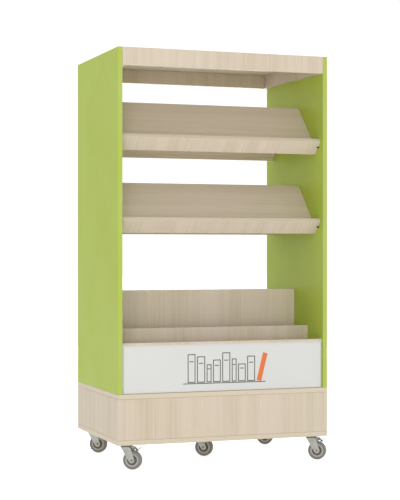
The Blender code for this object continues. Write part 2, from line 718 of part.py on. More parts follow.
def build_pedal(name, pivot):
    """Foot brake: barrel and pin between the ears, shoe over the tyre and foot plate behind."""
    width = 2 * (BRAKE_EAR_SPREAD - RUNNING_CLEARANCE)
    mesh = outline_mesh(name, [pedal_outline()], width)
    mesh.transform(LAY_TO_AXLE)
    pedal = add_part(name, mesh, "zinc_steel", parent=pivot)
    plate = outline_mesh(name + "_plate", [foot_plate_outline()], PEDAL_WIDTH)
    plate.transform(LAY_TO_AXLE)
    join_solid(pedal, add_cutter(name + "_plate", plate, parent=pivot))
    shoe = outline_mesh(name + "_shoe", [shoe_outline()], width - 2 * SHEET_OFFSET)
    shoe.transform(LAY_TO_AXLE)
    join_solid(pedal, add_cutter(name + "_shoe", shoe, parent=pivot))
    head_start = BRAKE_EAR_SPREAD + BRAKE_EAR_SHEET + RUNNING_CLEARANCE
    head_end = head_start + BRAKE_PIN_HEAD_HEIGHT
    upper = [
        (0.0, head_end),
        (BRAKE_PIN_HEAD_RADIUS, head_end),
        (BRAKE_PIN_HEAD_RADIUS, head_start),
        (BRAKE_PIN_RADIUS, head_start),
    ]
    lower = [(r, -z) for r, z in reversed(upper)]
    pin_mesh = profile_mesh(name + "_pin", upper + lower, closed=False)
    pin = add_cutter(name + "_pin", pin_mesh, parent=pivot, matrix=LAY_TO_AXLE)
    turn_profile(pin, ARC_STEPS)
    join_solid(pedal, pin)


def build_caster(place, kingpin, braked):
    """One swivel caster under the plinth."""
    swivel = add_empty(place + "_swivel_axis", (kingpin[0], kingpin[1], 0.0), turn=CASTER_TURN)
    wheel = add_empty(place + "_wheel_axis", (CASTER_TRAIL, 0.0, WHEEL_RADIUS), parent=swivel)
    build_plate(place + "_caster_plate", kingpin)
    build_race(place + "_caster_race", kingpin)
    build_fork(place + "_caster_fork", swivel, braked)
    build_core(place + "_wheel_core", wheel)
    build_tyre(place + "_tyre", wheel)
    build_axle(place + "_axle", swivel)
    if braked:
        spot = (BRAKE_PIVOT_REACH, 0.0, BRAKE_PIVOT_Z)
        build_pedal(place + "_brake_pedal", add_empty(place + "_brake_axis", spot, parent=swivel))


def build_casters():
    """A caster near each corner of the plinth and one under its middle."""
    front_x = HALF_WIDTH - CASTER_INSET
    reach_y = HALF_DEPTH - CASTER_INSET
    build_caster("front_left", (-front_x, -reach_y), braked=True)
    build_caster("front_right", (front_x, -reach_y), braked=True)
    build_caster("rear_left", (REAR_LEFT_END_INSET - HALF_WIDTH, reach_y), braked=False)
    build_caster("rear_right", (HALF_WIDTH - REAR_RIGHT_END_INSET, reach_y), braked=False)
    build_caster("centre", CENTRE_CASTER, braked=False)


clear_scene()
PARTS = new_collection("book_cart")
CUTTERS = new_collection("cutters")
build_base()
build_side_panels()
build_top()
build_shelves()
build_bin()
build_sign_panels()
build_casters()
bpy.context.view_layer.update()
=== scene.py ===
"""Looks of a double-sided display cart for books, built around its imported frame.

The boards are laminated panels with eased, banded edges; the casters have a bent steel fork, a
moulded wheel and, at the front, a foot brake. Everything is in metres, in the frame of the cart:
+Z up, the floor at zero, the front of the cart facing -Y.
"""

import json
import math

import bmesh
import bpy
import numpy as np
from bpy.props import FloatProperty, FloatVectorProperty, IntProperty, PointerProperty
from mathutils import Matrix, Vector


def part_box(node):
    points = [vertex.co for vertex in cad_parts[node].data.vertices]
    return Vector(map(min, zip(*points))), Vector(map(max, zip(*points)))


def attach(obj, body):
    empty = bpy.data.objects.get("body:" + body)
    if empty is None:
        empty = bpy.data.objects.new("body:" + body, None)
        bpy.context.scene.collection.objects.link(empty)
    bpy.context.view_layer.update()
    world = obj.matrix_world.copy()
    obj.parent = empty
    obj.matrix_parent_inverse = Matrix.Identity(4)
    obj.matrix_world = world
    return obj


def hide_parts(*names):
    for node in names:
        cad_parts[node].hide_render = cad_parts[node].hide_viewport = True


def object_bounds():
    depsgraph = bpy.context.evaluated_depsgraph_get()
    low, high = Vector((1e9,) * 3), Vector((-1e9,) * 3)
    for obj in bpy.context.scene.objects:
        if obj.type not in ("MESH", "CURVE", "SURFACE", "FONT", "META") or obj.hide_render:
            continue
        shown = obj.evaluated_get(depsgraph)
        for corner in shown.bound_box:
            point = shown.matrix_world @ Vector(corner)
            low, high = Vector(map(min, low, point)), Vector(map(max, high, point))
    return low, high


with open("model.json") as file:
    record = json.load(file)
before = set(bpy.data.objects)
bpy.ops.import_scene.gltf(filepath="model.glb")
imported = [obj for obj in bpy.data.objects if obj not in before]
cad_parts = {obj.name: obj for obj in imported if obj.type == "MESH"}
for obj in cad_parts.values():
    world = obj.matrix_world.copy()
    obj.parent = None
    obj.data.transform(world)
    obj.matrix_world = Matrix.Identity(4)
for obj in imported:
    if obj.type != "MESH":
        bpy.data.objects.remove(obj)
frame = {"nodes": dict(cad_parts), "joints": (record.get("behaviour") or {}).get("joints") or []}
CAD_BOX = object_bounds()

bl_info = {
    "name": "Book Cart",
    "version": (1, 0, 0),
    "blender": (4, 5, 0),
    "location": "View3D > Sidebar > Book Cart",
    "description": "Builds the looks of a double-sided display cart for books",
    "category": "Object",
}

JOINTS = {joint["name"]: joint for joint in frame["joints"]}
PLACES = ("front_left", "front_right", "rear_left", "rear_right", "centre")
BRAKED = ("front_left", "front_right")
LEVELS = ("upper", "lower")
SIDES = ("front", "rear")
CARCASE = "carcase"
GRAIN_UV = "grain"
# Point attribute of the moulded wheel parts: painted shade and grime in the core's recess, dust on the
# tyre
GRIME_AND_SHADE = "grime"
RIM = "rim"


def seen(red, green, blue):
    """A colour given as it is seen, 0 to 255, as linear values."""
    channels = np.array([red, green, blue]) / 255.0
    low = channels / 12.92
    high = ((channels + 0.055) / 1.055) ** 2.4
    return tuple(float(c) for c in np.where(channels <= 0.04045, low, high))


def shaded(value, amount):
    """A colour made darker."""
    return tuple(amount * c for c in value)


def length(name, description, default):
    """A length property in metres."""
    return FloatProperty(
        name=name, description=description, default=default, min=0.0, precision=5,
        subtype="DISTANCE", unit="LENGTH",
    )


def colour(name, description, default):
    """A colour property."""
    return FloatVectorProperty(
        name=name, description=description, default=default, min=0.0, max=1.0, size=3, subtype="COLOR",
    )


def share(name, description, default):
    """A plain number property."""
    return FloatProperty(name=name, description=description, default=default, min=0.0, precision=4)


# ----------------------------------------------------------------------------------------------
# Settings
# ----------------------------------------------------------------------------------------------

class BoardSettings(bpy.types.PropertyGroup):
    """Sizes and colours of the laminated boards."""

    edge_radius: length("Edge radius", "Rounding of every board edge", 0.0009)
    edge_steps: IntProperty(name="Edge steps", description="Facets round an edge", default=4, min=1)
    shelf_tilt: FloatProperty(
        name="Shelf tilt", description="Slope of the display boards",
        default=math.radians(46.5), subtype="ANGLE", unit="ROTATION",
    )
    maple_light: colour("Maple light", "Light stripes of the wood laminate", seen(219, 208, 189))
    maple_dark: colour("Maple dark", "Dark stripes of the wood laminate", seen(192, 176, 151))
    maple_blush: colour("Maple blush", "Pinkish drift in the laminate", seen(217, 201, 187))
    maple_band: colour("Maple edge band", "Edge band of the wood boards", seen(214, 202, 181))
    green: colour("Green", "Laminate of the side panels", seen(173, 191, 73))
    green_deep: colour("Green shade", "Deeper tone in the green laminate", seen(170, 188, 69))
    green_worn: colour("Worn green", "Rubbed spots on the side panels' edges", seen(204, 216, 146))
    green_band: colour("Green edge band", "Edge band of the side panels", seen(175, 190, 103))


class SignSettings(bpy.types.PropertyGroup):
    """Sign panels and the row of books printed on them."""

    white: colour("White", "Panel", seen(214, 214, 211))
    ink: colour("Ink", "Outlines of the printed books", seen(88, 88, 85))
    accent: colour("Accent", "The filled book", seen(226, 124, 70))
    row_length: length("Row length", "Length of the printed row of books", 0.330)
    tallest: length("Tallest book", "Height of the tallest printed book", 0.118)
    line: length("Line", "Width of a printed line", 0.0036)
    bevel: length("Bevel", "Width of the bevel along the panel's top and ends", 0.0085)
    books: IntProperty(name="Books", description="Books in the printed row", default=9, min=1)


class CasterSettings(bpy.types.PropertyGroup):
    """Sizes and colours of the casters that the frame does not give."""

    sheet: length("Sheet", "Thickness of the fork's steel", 0.0025)
    bend: length("Bend", "Radius of the fork's bends, at the middle of the sheet", 0.0034)
    leg_end: length("Leg end", "Radius of the round end of a leg", 0.0115)
    nose: length("Nose", "Fork ahead of the king pin", 0.0200)
    shoulder_reach: length("Shoulder reach", "Back shoulder of a leg behind the king pin", 0.0230)
    shoulder_drop: length("Shoulder drop", "Back shoulder below the fork's top", 0.0070)
    back: length("Back", "Back end of a leg's top, behind the king pin", 0.0140)
    yoke: length("Yoke", "Middle of the fork's top behind the king pin", 0.0195)
    tread_flat: length("Tread flat", "Flat width of the tread", 0.0130)
    shoulder: length("Tyre shoulder", "Depth of the tyre's rounded shoulder", 0.0048)
    recess: length("Recess", "Radius of the wheel core's recess", 0.0195)
    web: length("Web", "Thickness of the wheel core's web", 0.0090)
    hub: length("Hub", "Radius of the hub", 0.0110)
    steps: IntProperty(name="Steps", description="Facets round a wheel", default=96, min=12)
    zinc: colour("Zinc", "Plated steel", seen(205, 205, 200))
    zinc_deep: colour("Zinc haze", "Darker haze on the plated steel", seen(176, 176, 170))
    zinc_worn: colour("Worn zinc", "Handled plating of races, rivets and levers", seen(166, 164, 158))
    steel: colour("Dark steel", "Screws, pins and king pin heads", seen(92, 88, 80))
    core: colour("Wheel core", "Moulded wheel core", seen(176, 173, 167))
    # Painted shade: the darker tone of the wheel core's recess, which also stands for grime
    core_recess_shade: colour("Core recess shade", "Painted shade and grime in the recess of the core", seen(104, 98, 90))
    tyre: colour("Tyre", "Grey rubber", seen(128, 127, 124))
    tyre_dust: colour("Tyre dust", "Dust on the rubber", seen(158, 155, 148))


class StageSettings(bpy.types.PropertyGroup):
    """Camera, floor and light."""

    lens: share("Lens", "Focal length in millimetres", 102.15)
    eye: FloatVectorProperty(
        name="Eye", description="Place of the camera", default=(-2.045, -5.621, 0.8665), subtype="XYZ",
    )
    heading: FloatProperty(
        name="Heading", description="Turn of the camera about the vertical",
        default=math.radians(-20.0), subtype="ANGLE", unit="ROTATION",
    )
    floor_size: length("Floor size", "Radius of the floor", 40.0)
    floor: colour("Floor", "Pale floor", seen(240, 240, 239))
    glow: share("Floor glow", "Light that the floor gives off, as a light table does", 0.26)
    white: share("White surroundings", "Brightness of floor and background in the picture", 0.45)
    sky: share("Sky", "Strength of the even light from all round", 0.65)
    key: share("Key light", "Power of the soft light in front, in watts", 168.0)
    fill: share("Fill light", "Power of the soft light on the left, in watts", 2.0)
    back: share("Back light", "Power of the soft light behind on the left, in watts", 30.0)
    rear: share("Rear light", "Power of the soft light behind, in watts", 110.0)
    top: share("Top light", "Power of the soft light overhead, in watts", 36.0)


class BookCartSettings(bpy.types.PropertyGroup):
    """All settings of the cart."""

    boards: PointerProperty(type=BoardSettings)
    signs: PointerProperty(type=SignSettings)
    casters: PointerProperty(type=CasterSettings)
    stage: PointerProperty(type=StageSettings)


# ----------------------------------------------------------------------------------------------
# Shader nodes
# ----------------------------------------------------------------------------------------------

def add_node(tree, kind, settings=None, inputs=None):
    """A shader node, with its settings, and its inputs linked or set."""
    node = tree.nodes.new("ShaderNode" + kind)
    for key, value in (settings or {}).items():
        setattr(node, key, value)
    for key, value in (inputs or {}).items():
        socket = node.inputs[key]
        if isinstance(value, bpy.types.NodeSocket):
            tree.links.new(value, socket)
        else:
            socket.default_value = value
    return node


def maths(tree, operation, *values, clamp=False):
    """Result of a Math node."""
    settings = {"operation": operation, "use_clamp": clamp}
    return add_node(tree, "Math", settings, dict(enumerate(values))).outputs[0]


def blend_colours(tree, factor, first, second, how="MIX"):
    """Result of a colour Mix node."""
    settings = {"data_type": "RGBA", "blend_type": how}
    return add_node(tree, "Mix", settings, {0: factor, 6: first, 7: second}).outputs[2]


def remap(tree, value, low, high, to_low=0.0, to_high=1.0):
    """A value brought from one range to another, clamped."""
    inputs = {"Value": value, "From Min": low, "From Max": high, "To Min": to_low, "To Max": to_high}
    return add_node(tree, "MapRange", {"clamp": True}, inputs).outputs[0]


def stretched_noise(tree, vector, stretch, detail=2.0, roughness=0.5, distortion=0.0):
    """Noise that is stretched along the axes of its vector, stretch in cycles per metre."""
    scaled = add_node(tree, "VectorMath", {"operation": "MULTIPLY"}, {0: vector, 1: stretch})
    inputs = {"Vector": scaled.outputs[0], "Scale": 1.0, "Detail": detail}
    inputs.update({"Roughness": roughness, "Distortion": distortion})
    return add_node(tree, "TexNoise", None, inputs).outputs["Fac"]


def new_group(name, inputs, outputs):
    """An empty node group with named sockets: (tree, its inputs by name, its output node)."""
    tree = bpy.data.node_groups.new(name, "ShaderNodeTree")
    kinds = {"v": "NodeSocketVector", "c": "NodeSocketColor", "f": "NodeSocketFloat"}
    for label, kind in inputs.items():
        tree.interface.new_socket(label, in_out="INPUT", socket_type=kinds[kind])
    for label, kind in outputs.items():
        tree.interface.new_socket(label, in_out="OUTPUT", socket_type=kinds[kind])
    return tree, tree.nodes.new("NodeGroupInput").outputs, tree.nodes.new("NodeGroupOutput").inputs


def grain_group():
    """Straight maple grain: broad stripes, streaks, fibres and short pores along the first axis."""
    tree, given, result = new_group(
        "Maple grain",
        {"Vector": "v", "Light": "c", "Dark": "c", "Blush": "c", "Contrast": "f", "Gloss": "f"},
        {"Colour": "c", "Roughness": "f", "Height": "f"},
    )
    vector = given["Vector"]
    stripe = stretched_noise(tree, vector, (0.45, 17.0, 1.0), 3.0, 0.62, 0.25)
    streak = stretched_noise(tree, vector, (1.6, 170.0, 1.0), 3.0, 0.62, 0.2)
    fibre = stretched_noise(tree, vector, (6.0, 620.0, 1.0), 3.0, 0.6)
    pore = remap(tree, stretched_noise(tree, vector, (38.0, 1500.0, 1.0), 1.0, 0.4), 0.62, 0.74)
    drift = remap(tree, stretched_noise(tree, vector, (0.7, 6.5, 1.0), 2.0, 0.5), 0.38, 0.66)
    broad = remap(tree, stripe, 0.30, 0.70, 0.0, 0.48)
    narrow = remap(tree, streak, 0.30, 0.70, 0.0, 0.42)
    fine = remap(tree, fibre, 0.30, 0.70, 0.0, 0.16)
    tone = maths(tree, "ADD", maths(tree, "ADD", broad, narrow), fine)
    tone = maths(tree, "MULTIPLY", tone, given["Contrast"], clamp=True)
    wood = blend_colours(tree, tone, given["Light"], given["Dark"])
    wood = blend_colours(tree, maths(tree, "MULTIPLY", drift, 0.55), wood, given["Blush"])
    pored = maths(tree, "MULTIPLY", pore, 0.30)
    wood = blend_colours(tree, pored, wood, given["Dark"], "MULTIPLY")
    tree.links.new(wood, result["Colour"])
    gloss = maths(tree, "MULTIPLY_ADD", tone, 0.10, given["Gloss"])
    tree.links.new(gloss, result["Roughness"])
    pits = maths(tree, "MULTIPLY", pore, 0.6)
    relief = maths(tree, "SUBTRACT", maths(tree, "MULTIPLY", fibre, 0.5), pits)
    tree.links.new(relief, result["Height"])
    return tree


def peel_group():
    """Plain coloured laminate or lacquer: soft clouding and a fine pebbled surface."""
    tree, given, result = new_group(
        "Pebbled laminate",
        {"Vector": "v", "Base": "c", "Shade": "c", "Pebble": "f", "Gloss": "f"},
        {"Colour": "c", "Roughness": "f", "Height": "f"},
    )
    vector = given["Vector"]
    cloud = stretched_noise(tree, vector, (3.2, 3.2, 3.2), 4.0, 0.55, 0.4)
    speck = stretched_noise(tree, vector, (420.0, 420.0, 420.0), 2.0, 0.6)
    scaled = add_node(tree, "VectorMath", {"operation": "SCALE"}, {0: vector, "Scale": given["Pebble"]})
    pebble = add_node(
        tree, "TexVoronoi", {"feature": "SMOOTH_F1"},
        {"Vector": scaled.outputs[0], "Scale": 1.0, "Smoothness": 0.9},
    ).outputs["Distance"]
    broad = remap(tree, cloud, 0.35, 0.65, 0.0, 0.7)
    fine = remap(tree, speck, 0.3, 0.7, 0.0, 0.3)
    tone = maths(tree, "ADD", broad, fine)
    tree.links.new(blend_colours(tree, tone, given["Base"], given["Shade"]), result["Colour"])
    gloss = maths(tree, "MULTIPLY_ADD", cloud, 0.12, given["Gloss"])
    tree.links.new(gloss, result["Roughness"])
    tree.links.new(pebble, result["Height"])
    return tree


def handling_group():
    """Marks of use: smudges and fine rubbed lines, as a mask from 0 to 1."""
    tree, given, result = new_group("Handling marks", {"Vector": "v", "Amount": "f"}, {"Mask": "f"})
    vector = given["Vector"]
    smudge = remap(tree, stretched_noise(tree, vector, (7.0, 7.0, 7.0), 5.0, 0.6, 0.6), 0.50, 0.75)
    rub = remap(tree, stretched_noise(tree, vector, (14.0, 14.0, 520.0), 2.0, 0.5, 0.2), 0.66, 0.72)
    scuff = remap(tree, stretched_noise(tree, vector, (520.0, 12.0, 12.0), 2.0, 0.5, 0.2), 0.67, 0.73)
    lines = maths(tree, "MAXIMUM", rub, scuff)
    smudges = maths(tree, "MULTIPLY", smudge, 0.7)
    mask = maths(tree, "MAXIMUM", smudges, maths(tree, "MULTIPLY", lines, 0.6))
    tree.links.new(maths(tree, "MULTIPLY", mask, given["Amount"], clamp=True), result["Mask"])
    return tree


def edge_group():
    """Edge of a laminated board from its rim value: a fine dark glue line, which also paints the shade
    in the joints, and rubbed spots on the band.

    The rim is 0 inside the face, a half where the face ends and 1 in the middle of the rounding.
    """
    tree, given, result = new_group(
        "Board edge", {"Vector": "v", "Amount": "f"}, {"Line": "f", "Wear": "f"},
    )
    rim = add_node(tree, "Attribute", {"attribute_name": RIM}).outputs["Fac"]
    from_line = maths(tree, "ABSOLUTE", maths(tree, "SUBTRACT", rim, 0.5))
    # Painted shade together with the glue: a dark line where the face ends and the band begins
    line = remap(tree, from_line, 0.04, 0.16, 1.0, 0.0)
    patch = stretched_noise(tree, given["Vector"], (55.0, 55.0, 55.0), 5.0, 0.7, 0.4)
    spots = remap(tree, patch, 0.54, 0.66)
    wear = maths(tree, "MULTIPLY", remap(tree, rim, 0.6, 0.9), spots)
    tree.links.new(line, result["Line"])
    tree.links.new(maths(tree, "MULTIPLY", wear, given["Amount"], clamp=True), result["Wear"])
    return tree


def haze_group():
    """Bright zinc plating: cloudy crystals, a faint brushing and darker haze."""
    tree, given, result = new_group(
        "Zinc haze",
        {"Vector": "v", "Bright": "c", "Haze": "c", "Gloss": "f"},
        {"Colour": "c", "Roughness": "f", "Height": "f"},
    )
    vector = given["Vector"]
    scaled = add_node(tree, "VectorMath", {"operation": "SCALE"}, {0: vector, "Scale": 300.0})
    crystal = add_node(
        tree, "TexVoronoi", {"feature": "F1"}, {"Vector": scaled.outputs[0], "Scale": 1.0},
    )
    cell = add_node(tree, "SeparateColor", None, {0: crystal.outputs["Color"]}).outputs[0]
    cloud = remap(tree, stretched_noise(tree, vector, (60.0, 60.0, 60.0), 3.0, 0.6), 0.35, 0.68)
    brush = stretched_noise(tree, vector, (300.0, 300.0, 2600.0), 2.0, 0.5)
    tone = maths(tree, "MULTIPLY_ADD", cell, 0.35, maths(tree, "MULTIPLY", cloud, 0.6))
    tree.links.new(blend_colours(tree, tone, given["Bright"], given["Haze"]), result["Colour"])
    gloss = maths(tree, "MULTIPLY_ADD", tone, 0.14, given["Gloss"])
    tree.links.new(gloss, result["Roughness"])
    tree.links.new(brush, result["Height"])
    return tree


class Finishes:
    """The materials and the effects they share, each made when it is first asked for."""

    groups = {}
    made = {}

    def __init__(self, settings):
        self.settings = settings

    def group(self, tree, maker, inputs):
        """A node of a shared effect, placed in a material with its own values."""
        if maker not in self.groups:
            self.groups[maker] = maker()
        return add_node(tree, "Group", {"node_tree": self.groups[maker]}, inputs).outputs

    def surface(self, name, metallic=0.0, coat=0.0, specular=0.5):
        """A new material: (material, tree, its shader)."""
        material = bpy.data.materials.new(name)
        material.use_nodes = True
        tree = material.node_tree
        shader = tree.nodes["Principled BSDF"]
        shader.inputs["Metallic"].default_value = metallic
        shader.inputs["Specular IOR Level"].default_value = specular
        if coat:
            shader.inputs["Coat Weight"].default_value = coat
            shader.inputs["Coat Roughness"].default_value = 0.15
        return material, tree, shader

    def dress(self, tree, shader, base, rough, height, strength, distance=0.0002):
        """Gives the shader its colour and roughness, and a bump of the strength and depth given."""
        tree.links.new(base, shader.inputs["Base Color"])
        tree.links.new(rough, shader.inputs["Roughness"])
        relief = {"Strength": strength, "Distance": distance, "Height": height}
        tree.links.new(add_node(tree, "Bump", None, relief).outputs[0], shader.inputs["Normal"])

    def get(self, name):
        """The material of that name."""
        if name not in self.made:
            self.made[name] = getattr(self, name)()
        return self.made[name]

    def edged(self, tree, place, base, line, worn, amount):
        """A board's colour with its dark glue line, which also paints joint shade, and the worn spots on
        its edges.
        """
        edge = self.group(tree, edge_group, {"Vector": place, "Amount": amount})
        # Glue line and painted joint shade, multiplied into the colour
        glue_line_and_shade = maths(tree, "MULTIPLY", edge["Line"], 0.35)
        lined = blend_colours(tree, glue_line_and_shade, base, (*line, 1.0), "MULTIPLY")
        return blend_colours(tree, edge["Wear"], lined, (*worn, 1.0))

    def maple(self, band=False):
        """Wood laminate, its grain along the first axis of the board's UV map."""
        boards = self.settings.boards
        name = "maple_edge_band" if band else "maple_laminate"
        material, tree, shader = self.surface(name, specular=0.25)
        vector = add_node(tree, "UVMap", {"uv_map": GRAIN_UV}).outputs[0]
        light = (*(boards.maple_band if band else boards.maple_light), 1.0)
        inputs = {"Vector": vector, "Light": light, "Dark": (*boards.maple_dark, 1.0)}
        inputs["Blush"] = light if band else (*boards.maple_blush, 1.0)
        inputs["Contrast"] = 0.45 if band else 0.95
        inputs["Gloss"] = 0.36 if band else 0.42
        grain = self.group(tree, grain_group, inputs)
        place = add_node(tree, "TexCoord").outputs["Object"]
        marks = self.group(tree, handling_group, {"Vector": place, "Amount": 0.35})["Mask"]
        rough = maths(tree, "MULTIPLY_ADD", marks, 0.12, grain["Roughness"])
        dark = boards.maple_dark
        final = self.edged(tree, place, grain["Colour"], dark, dark, 0.5)
        self.dress(tree, shader, final, rough, grain["Height"], 0.35)
        return material

    def maple_band(self):
        """Edge band of the wood boards."""
        return self.maple(band=True)

    def pebbled(self, name, base, shade, pebble, gloss, marks, relief, coat=0.0, edge=None):
        """A plain coloured surface with clouding, a pebbled relief and marks of use."""
        material, tree, shader = self.surface(name, coat=coat, specular=0.22)
        place = add_node(tree, "TexCoord").outputs["Object"]
        inputs = {"Vector": place, "Base": (*base, 1.0), "Shade": (*shade, 1.0)}
        inputs.update({"Pebble": pebble, "Gloss": gloss})
        peel = self.group(tree, peel_group, inputs)
        mask = self.group(tree, handling_group, {"Vector": place, "Amount": marks})["Mask"]
        rough = maths(tree, "MULTIPLY_ADD", mask, 0.2, peel["Roughness"])
        faded = maths(tree, "MULTIPLY", mask, 0.12)
        final = blend_colours(tree, faded, peel["Colour"], (*shade, 1.0), "MULTIPLY")
        if edge is not None:
            final = self.edged(tree, place, final, shade, edge, 0.6)
        self.dress(tree, shader, final, rough, peel["Height"], relief)
        return material

    def green(self):
        """Green laminate of the side panels."""
        boards = self.settings.boards
        return self.pebbled(
            "green_laminate", boards.green, boards.green_deep, pebble=900.0, gloss=0.36, marks=0.5,
            relief=0.18, edge=boards.green_worn,
        )

    def green_band(self):
        """Edge band of the side panels."""
        boards = self.settings.boards
        return self.pebbled(
            "green_edge_band", boards.green_band, boards.green, pebble=1500.0, gloss=0.32, marks=0.5,
            relief=0.1, edge=boards.green_worn,
        )

    def white(self):
        """Glossy white panel."""
        white = self.settings.signs.white
        return self.pebbled(
            "white_gloss_panel", white, shaded(white, 0.97), pebble=260.0, gloss=0.10, marks=0.35,
            relief=0.03, coat=0.3,
        )

    def white_end_shaded(self):
        """Matt bevels at the ends of the white panels, in painted shade: the white made greyer, as the
        sideways bevels look in shade.
        """
        # Painted shade: the white darkened by a tenth for the end bevels
        grey = shaded(self.settings.signs.white, 0.90)
        return self.pebbled(
            "white_panel_end", grey, shaded(grey, 0.95), pebble=900.0, gloss=0.4, marks=0.3, relief=0.03,
        )

    def printed(self, name, base, amount):
        """Print on the sign panels."""
        shade = shaded(base, amount)
        return self.pebbled(name, base, shade, pebble=1200.0, gloss=0.3, marks=0.3, relief=0.05)

    def ink(self):
        """The outlines of the printed books."""
        return self.printed("grey_print", self.settings.signs.ink, 0.9)

    def accent(self):
        """The filled book."""
        return self.printed("orange_print", self.settings.signs.accent, 0.92)

    def metal(self, name, bright, haze, gloss, relief, metallic=1.0):
        """A plated or oiled steel."""
        material, tree, shader = self.surface(name, metallic=metallic)
        place = add_node(tree, "TexCoord").outputs["Object"]
        inputs = {"Vector": place, "Bright": (*bright, 1.0), "Haze": (*haze, 1.0), "Gloss": gloss}
        plating = self.group(tree, haze_group, inputs)
        mask = self.group(tree, handling_group, {"Vector": place, "Amount": 0.8})["Mask"]
        rough = maths(tree, "MULTIPLY_ADD", mask, 0.25, plating["Roughness"])
        self.dress(tree, shader, plating["Colour"], rough, plating["Height"], relief, 0.0001)
        return material

    def zinc(self):
        """Zinc-plated steel of the forks, plates, ears and washers."""
        casters = self.settings.casters
        bright, haze = casters.zinc, casters.zinc_deep
        return self.metal("zinc_plated_steel", bright, haze, gloss=0.30, relief=0.2)

    def worn_zinc(self):
        """Handled zinc plating of the races, rivets and brake levers."""
        worn = self.settings.casters.zinc_worn
        return self.metal("worn_zinc_plating", worn, shaded(worn, 0.7), gloss=0.38, relief=0.25)

    def steel(self):
        """Dark oiled steel of the screws, shelf pins and king pin heads."""
        steel = self.settings.casters.steel
        haze = shaded(steel, 0.6)
        return self.metal("dark_oiled_steel", steel, haze, gloss=0.34, relief=0.15, metallic=0.85)

    def moulded(self, name, base, grime_and_shade_colour, pebble, gloss, relief):
        """A moulded wheel piece: pebbled, with a second colour where its own attribute says: painted
        shade and grime in the core's recess, floor dust on the tyre.
        """
        material, tree, shader = self.surface(name, specular=0.35)
        place = add_node(tree, "TexCoord").outputs["Object"]
        inputs = {"Vector": place, "Base": (*base, 1.0), "Shade": (*shaded(base, 0.9), 1.0)}
        inputs.update({"Pebble": pebble, "Gloss": gloss})
        peel = self.group(tree, peel_group, inputs)
        # Painted shade and grime in the core's recess, and dust on the tyre, come in through this
        # attribute
        grime = add_node(tree, "Attribute", {"attribute_name": GRIME_AND_SHADE}).outputs["Fac"]
        patch = stretched_noise(tree, place, (150.0, 150.0, 150.0), 4.0, 0.65, 0.5)
        cover = maths(tree, "MULTIPLY", grime, remap(tree, patch, 0.25, 0.6, 0.55, 1.0), clamp=True)
        final = blend_colours(tree, cover, peel["Colour"], (*grime_and_shade_colour, 1.0))
        rough = maths(tree, "MULTIPLY_ADD", cover, 0.2, peel["Roughness"])
        self.dress(tree, shader, final, rough, peel["Height"], relief)
        return material

    def core(self):
        """Grey plastic of the wheel cores."""
        casters = self.settings.casters
        return self.moulded(
            "wheel_core_plastic", casters.core, casters.core_recess_shade, pebble=1400.0, gloss=0.42,
            relief=0.12,
        )

    def tyre(self):
        """Grey rubber of the tyres."""
        casters = self.settings.casters
        return self.moulded(
            "tyre_rubber", casters.tyre, casters.tyre_dust, pebble=1700.0, gloss=0.62, relief=0.35,
        )


# ----------------------------------------------------------------------------------------------
# Surfaces
# ----------------------------------------------------------------------------------------------

def grid_quads(rows, columns, wrap_rows=False, wrap_columns=False):
    """Quads between the neighbours of a grid of points, joined round where the grid wraps."""
    row = np.arange(rows if wrap_rows else rows - 1)
    column = np.arange(columns if wrap_columns else columns - 1)
    i, j = np.meshgrid(row, column, indexing="ij")
    next_i = (i + 1) % rows
    next_j = (j + 1) % columns
    corners = [i * columns + j, next_i * columns + j, next_i * columns + next_j, i * columns + next_j]
    return np.stack(corners, axis=-1).reshape(-1, 4)


def join_surfaces(parts):
    """Several (points, quads) surfaces as one."""
    points = np.concatenate([part[0] for part in parts])
    starts = np.cumsum([0] + [len(part[0]) for part in parts[:-1]])
    quads = np.concatenate([part[1] + start for part, start in zip(parts, starts)])
    return points, quads


def placed(points, matrix):
    """Points carried by a 4 x 4 matrix."""
    array = np.array(matrix)
    return points @ array[:3, :3].T + array[:3, 3]


def soften(corners, radius, steps=4, wrap=True):
    """A polyline with each corner replaced by a quadratic curve.

    The curve starts and ends a radius away along the corner's two sides, or at their middles where
    they are short, and the corner is its control point.
    """
    corners = np.asarray(corners, float)
    before = np.roll(corners, 1, axis=0) - corners
    after = np.roll(corners, -1, axis=0) - corners
    far_before = np.linalg.norm(before, axis=1, keepdims=True)
    far_after = np.linalg.norm(after, axis=1, keepdims=True)
    start = corners + before / far_before * np.minimum(radius, far_before / 2)
    end = corners + after / far_after * np.minimum(radius, far_after / 2)
    t = np.linspace(0.0, 1.0, steps + 1)[None, :, None]
    curve = (1 - t) ** 2 * start[:, None] + 2 * t * (1 - t) * corners[:, None] + t ** 2 * end[:, None]
    if not wrap:
        middle = curve[1:-1].reshape(-1, corners.shape[1])
        return np.concatenate([corners[:1], middle, corners[-1:]])
    return curve.reshape(-1, corners.shape[1])


def resample(points, count):
    """Points at equal steps of length along a polyline."""
    steps = np.linalg.norm(np.diff(points, axis=0), axis=1)
    run = np.concatenate([[0.0], np.cumsum(steps)])
    wanted = np.linspace(0.0, run[-1], count)
    return np.stack([np.interp(wanted, run, points[:, k]) for k in range(points.shape[1])], axis=1)


def resample_ring(points, count):
    """A given number of points at equal steps round a closed polyline."""
    return resample(np.concatenate([points, points[:1]]), count + 1)[:-1]


def turned(profile, steps, wrap):
    """A profile (radius, height) carried once round the Z axis: x = r cos a, y = r sin a, z = h."""
    angle = np.linspace(0.0, 2 * math.pi, steps, endpoint=False)[:, None]
    radius = profile[None, :, 0]
    height = np.broadcast_to(profile[None, :, 1], (steps, len(profile)))
    points = np.stack([radius * np.cos(angle), radius * np.sin(angle), height], axis=-1)
    return points.reshape(-1, 3), grid_quads(steps, len(profile), True, wrap)


def mirrored_profile(upper):
    """A half profile (radius, height) with its mirror image below zero height."""
    upper = np.asarray(upper, float)
    return np.concatenate([upper, (upper * (1.0, -1.0))[::-1]])


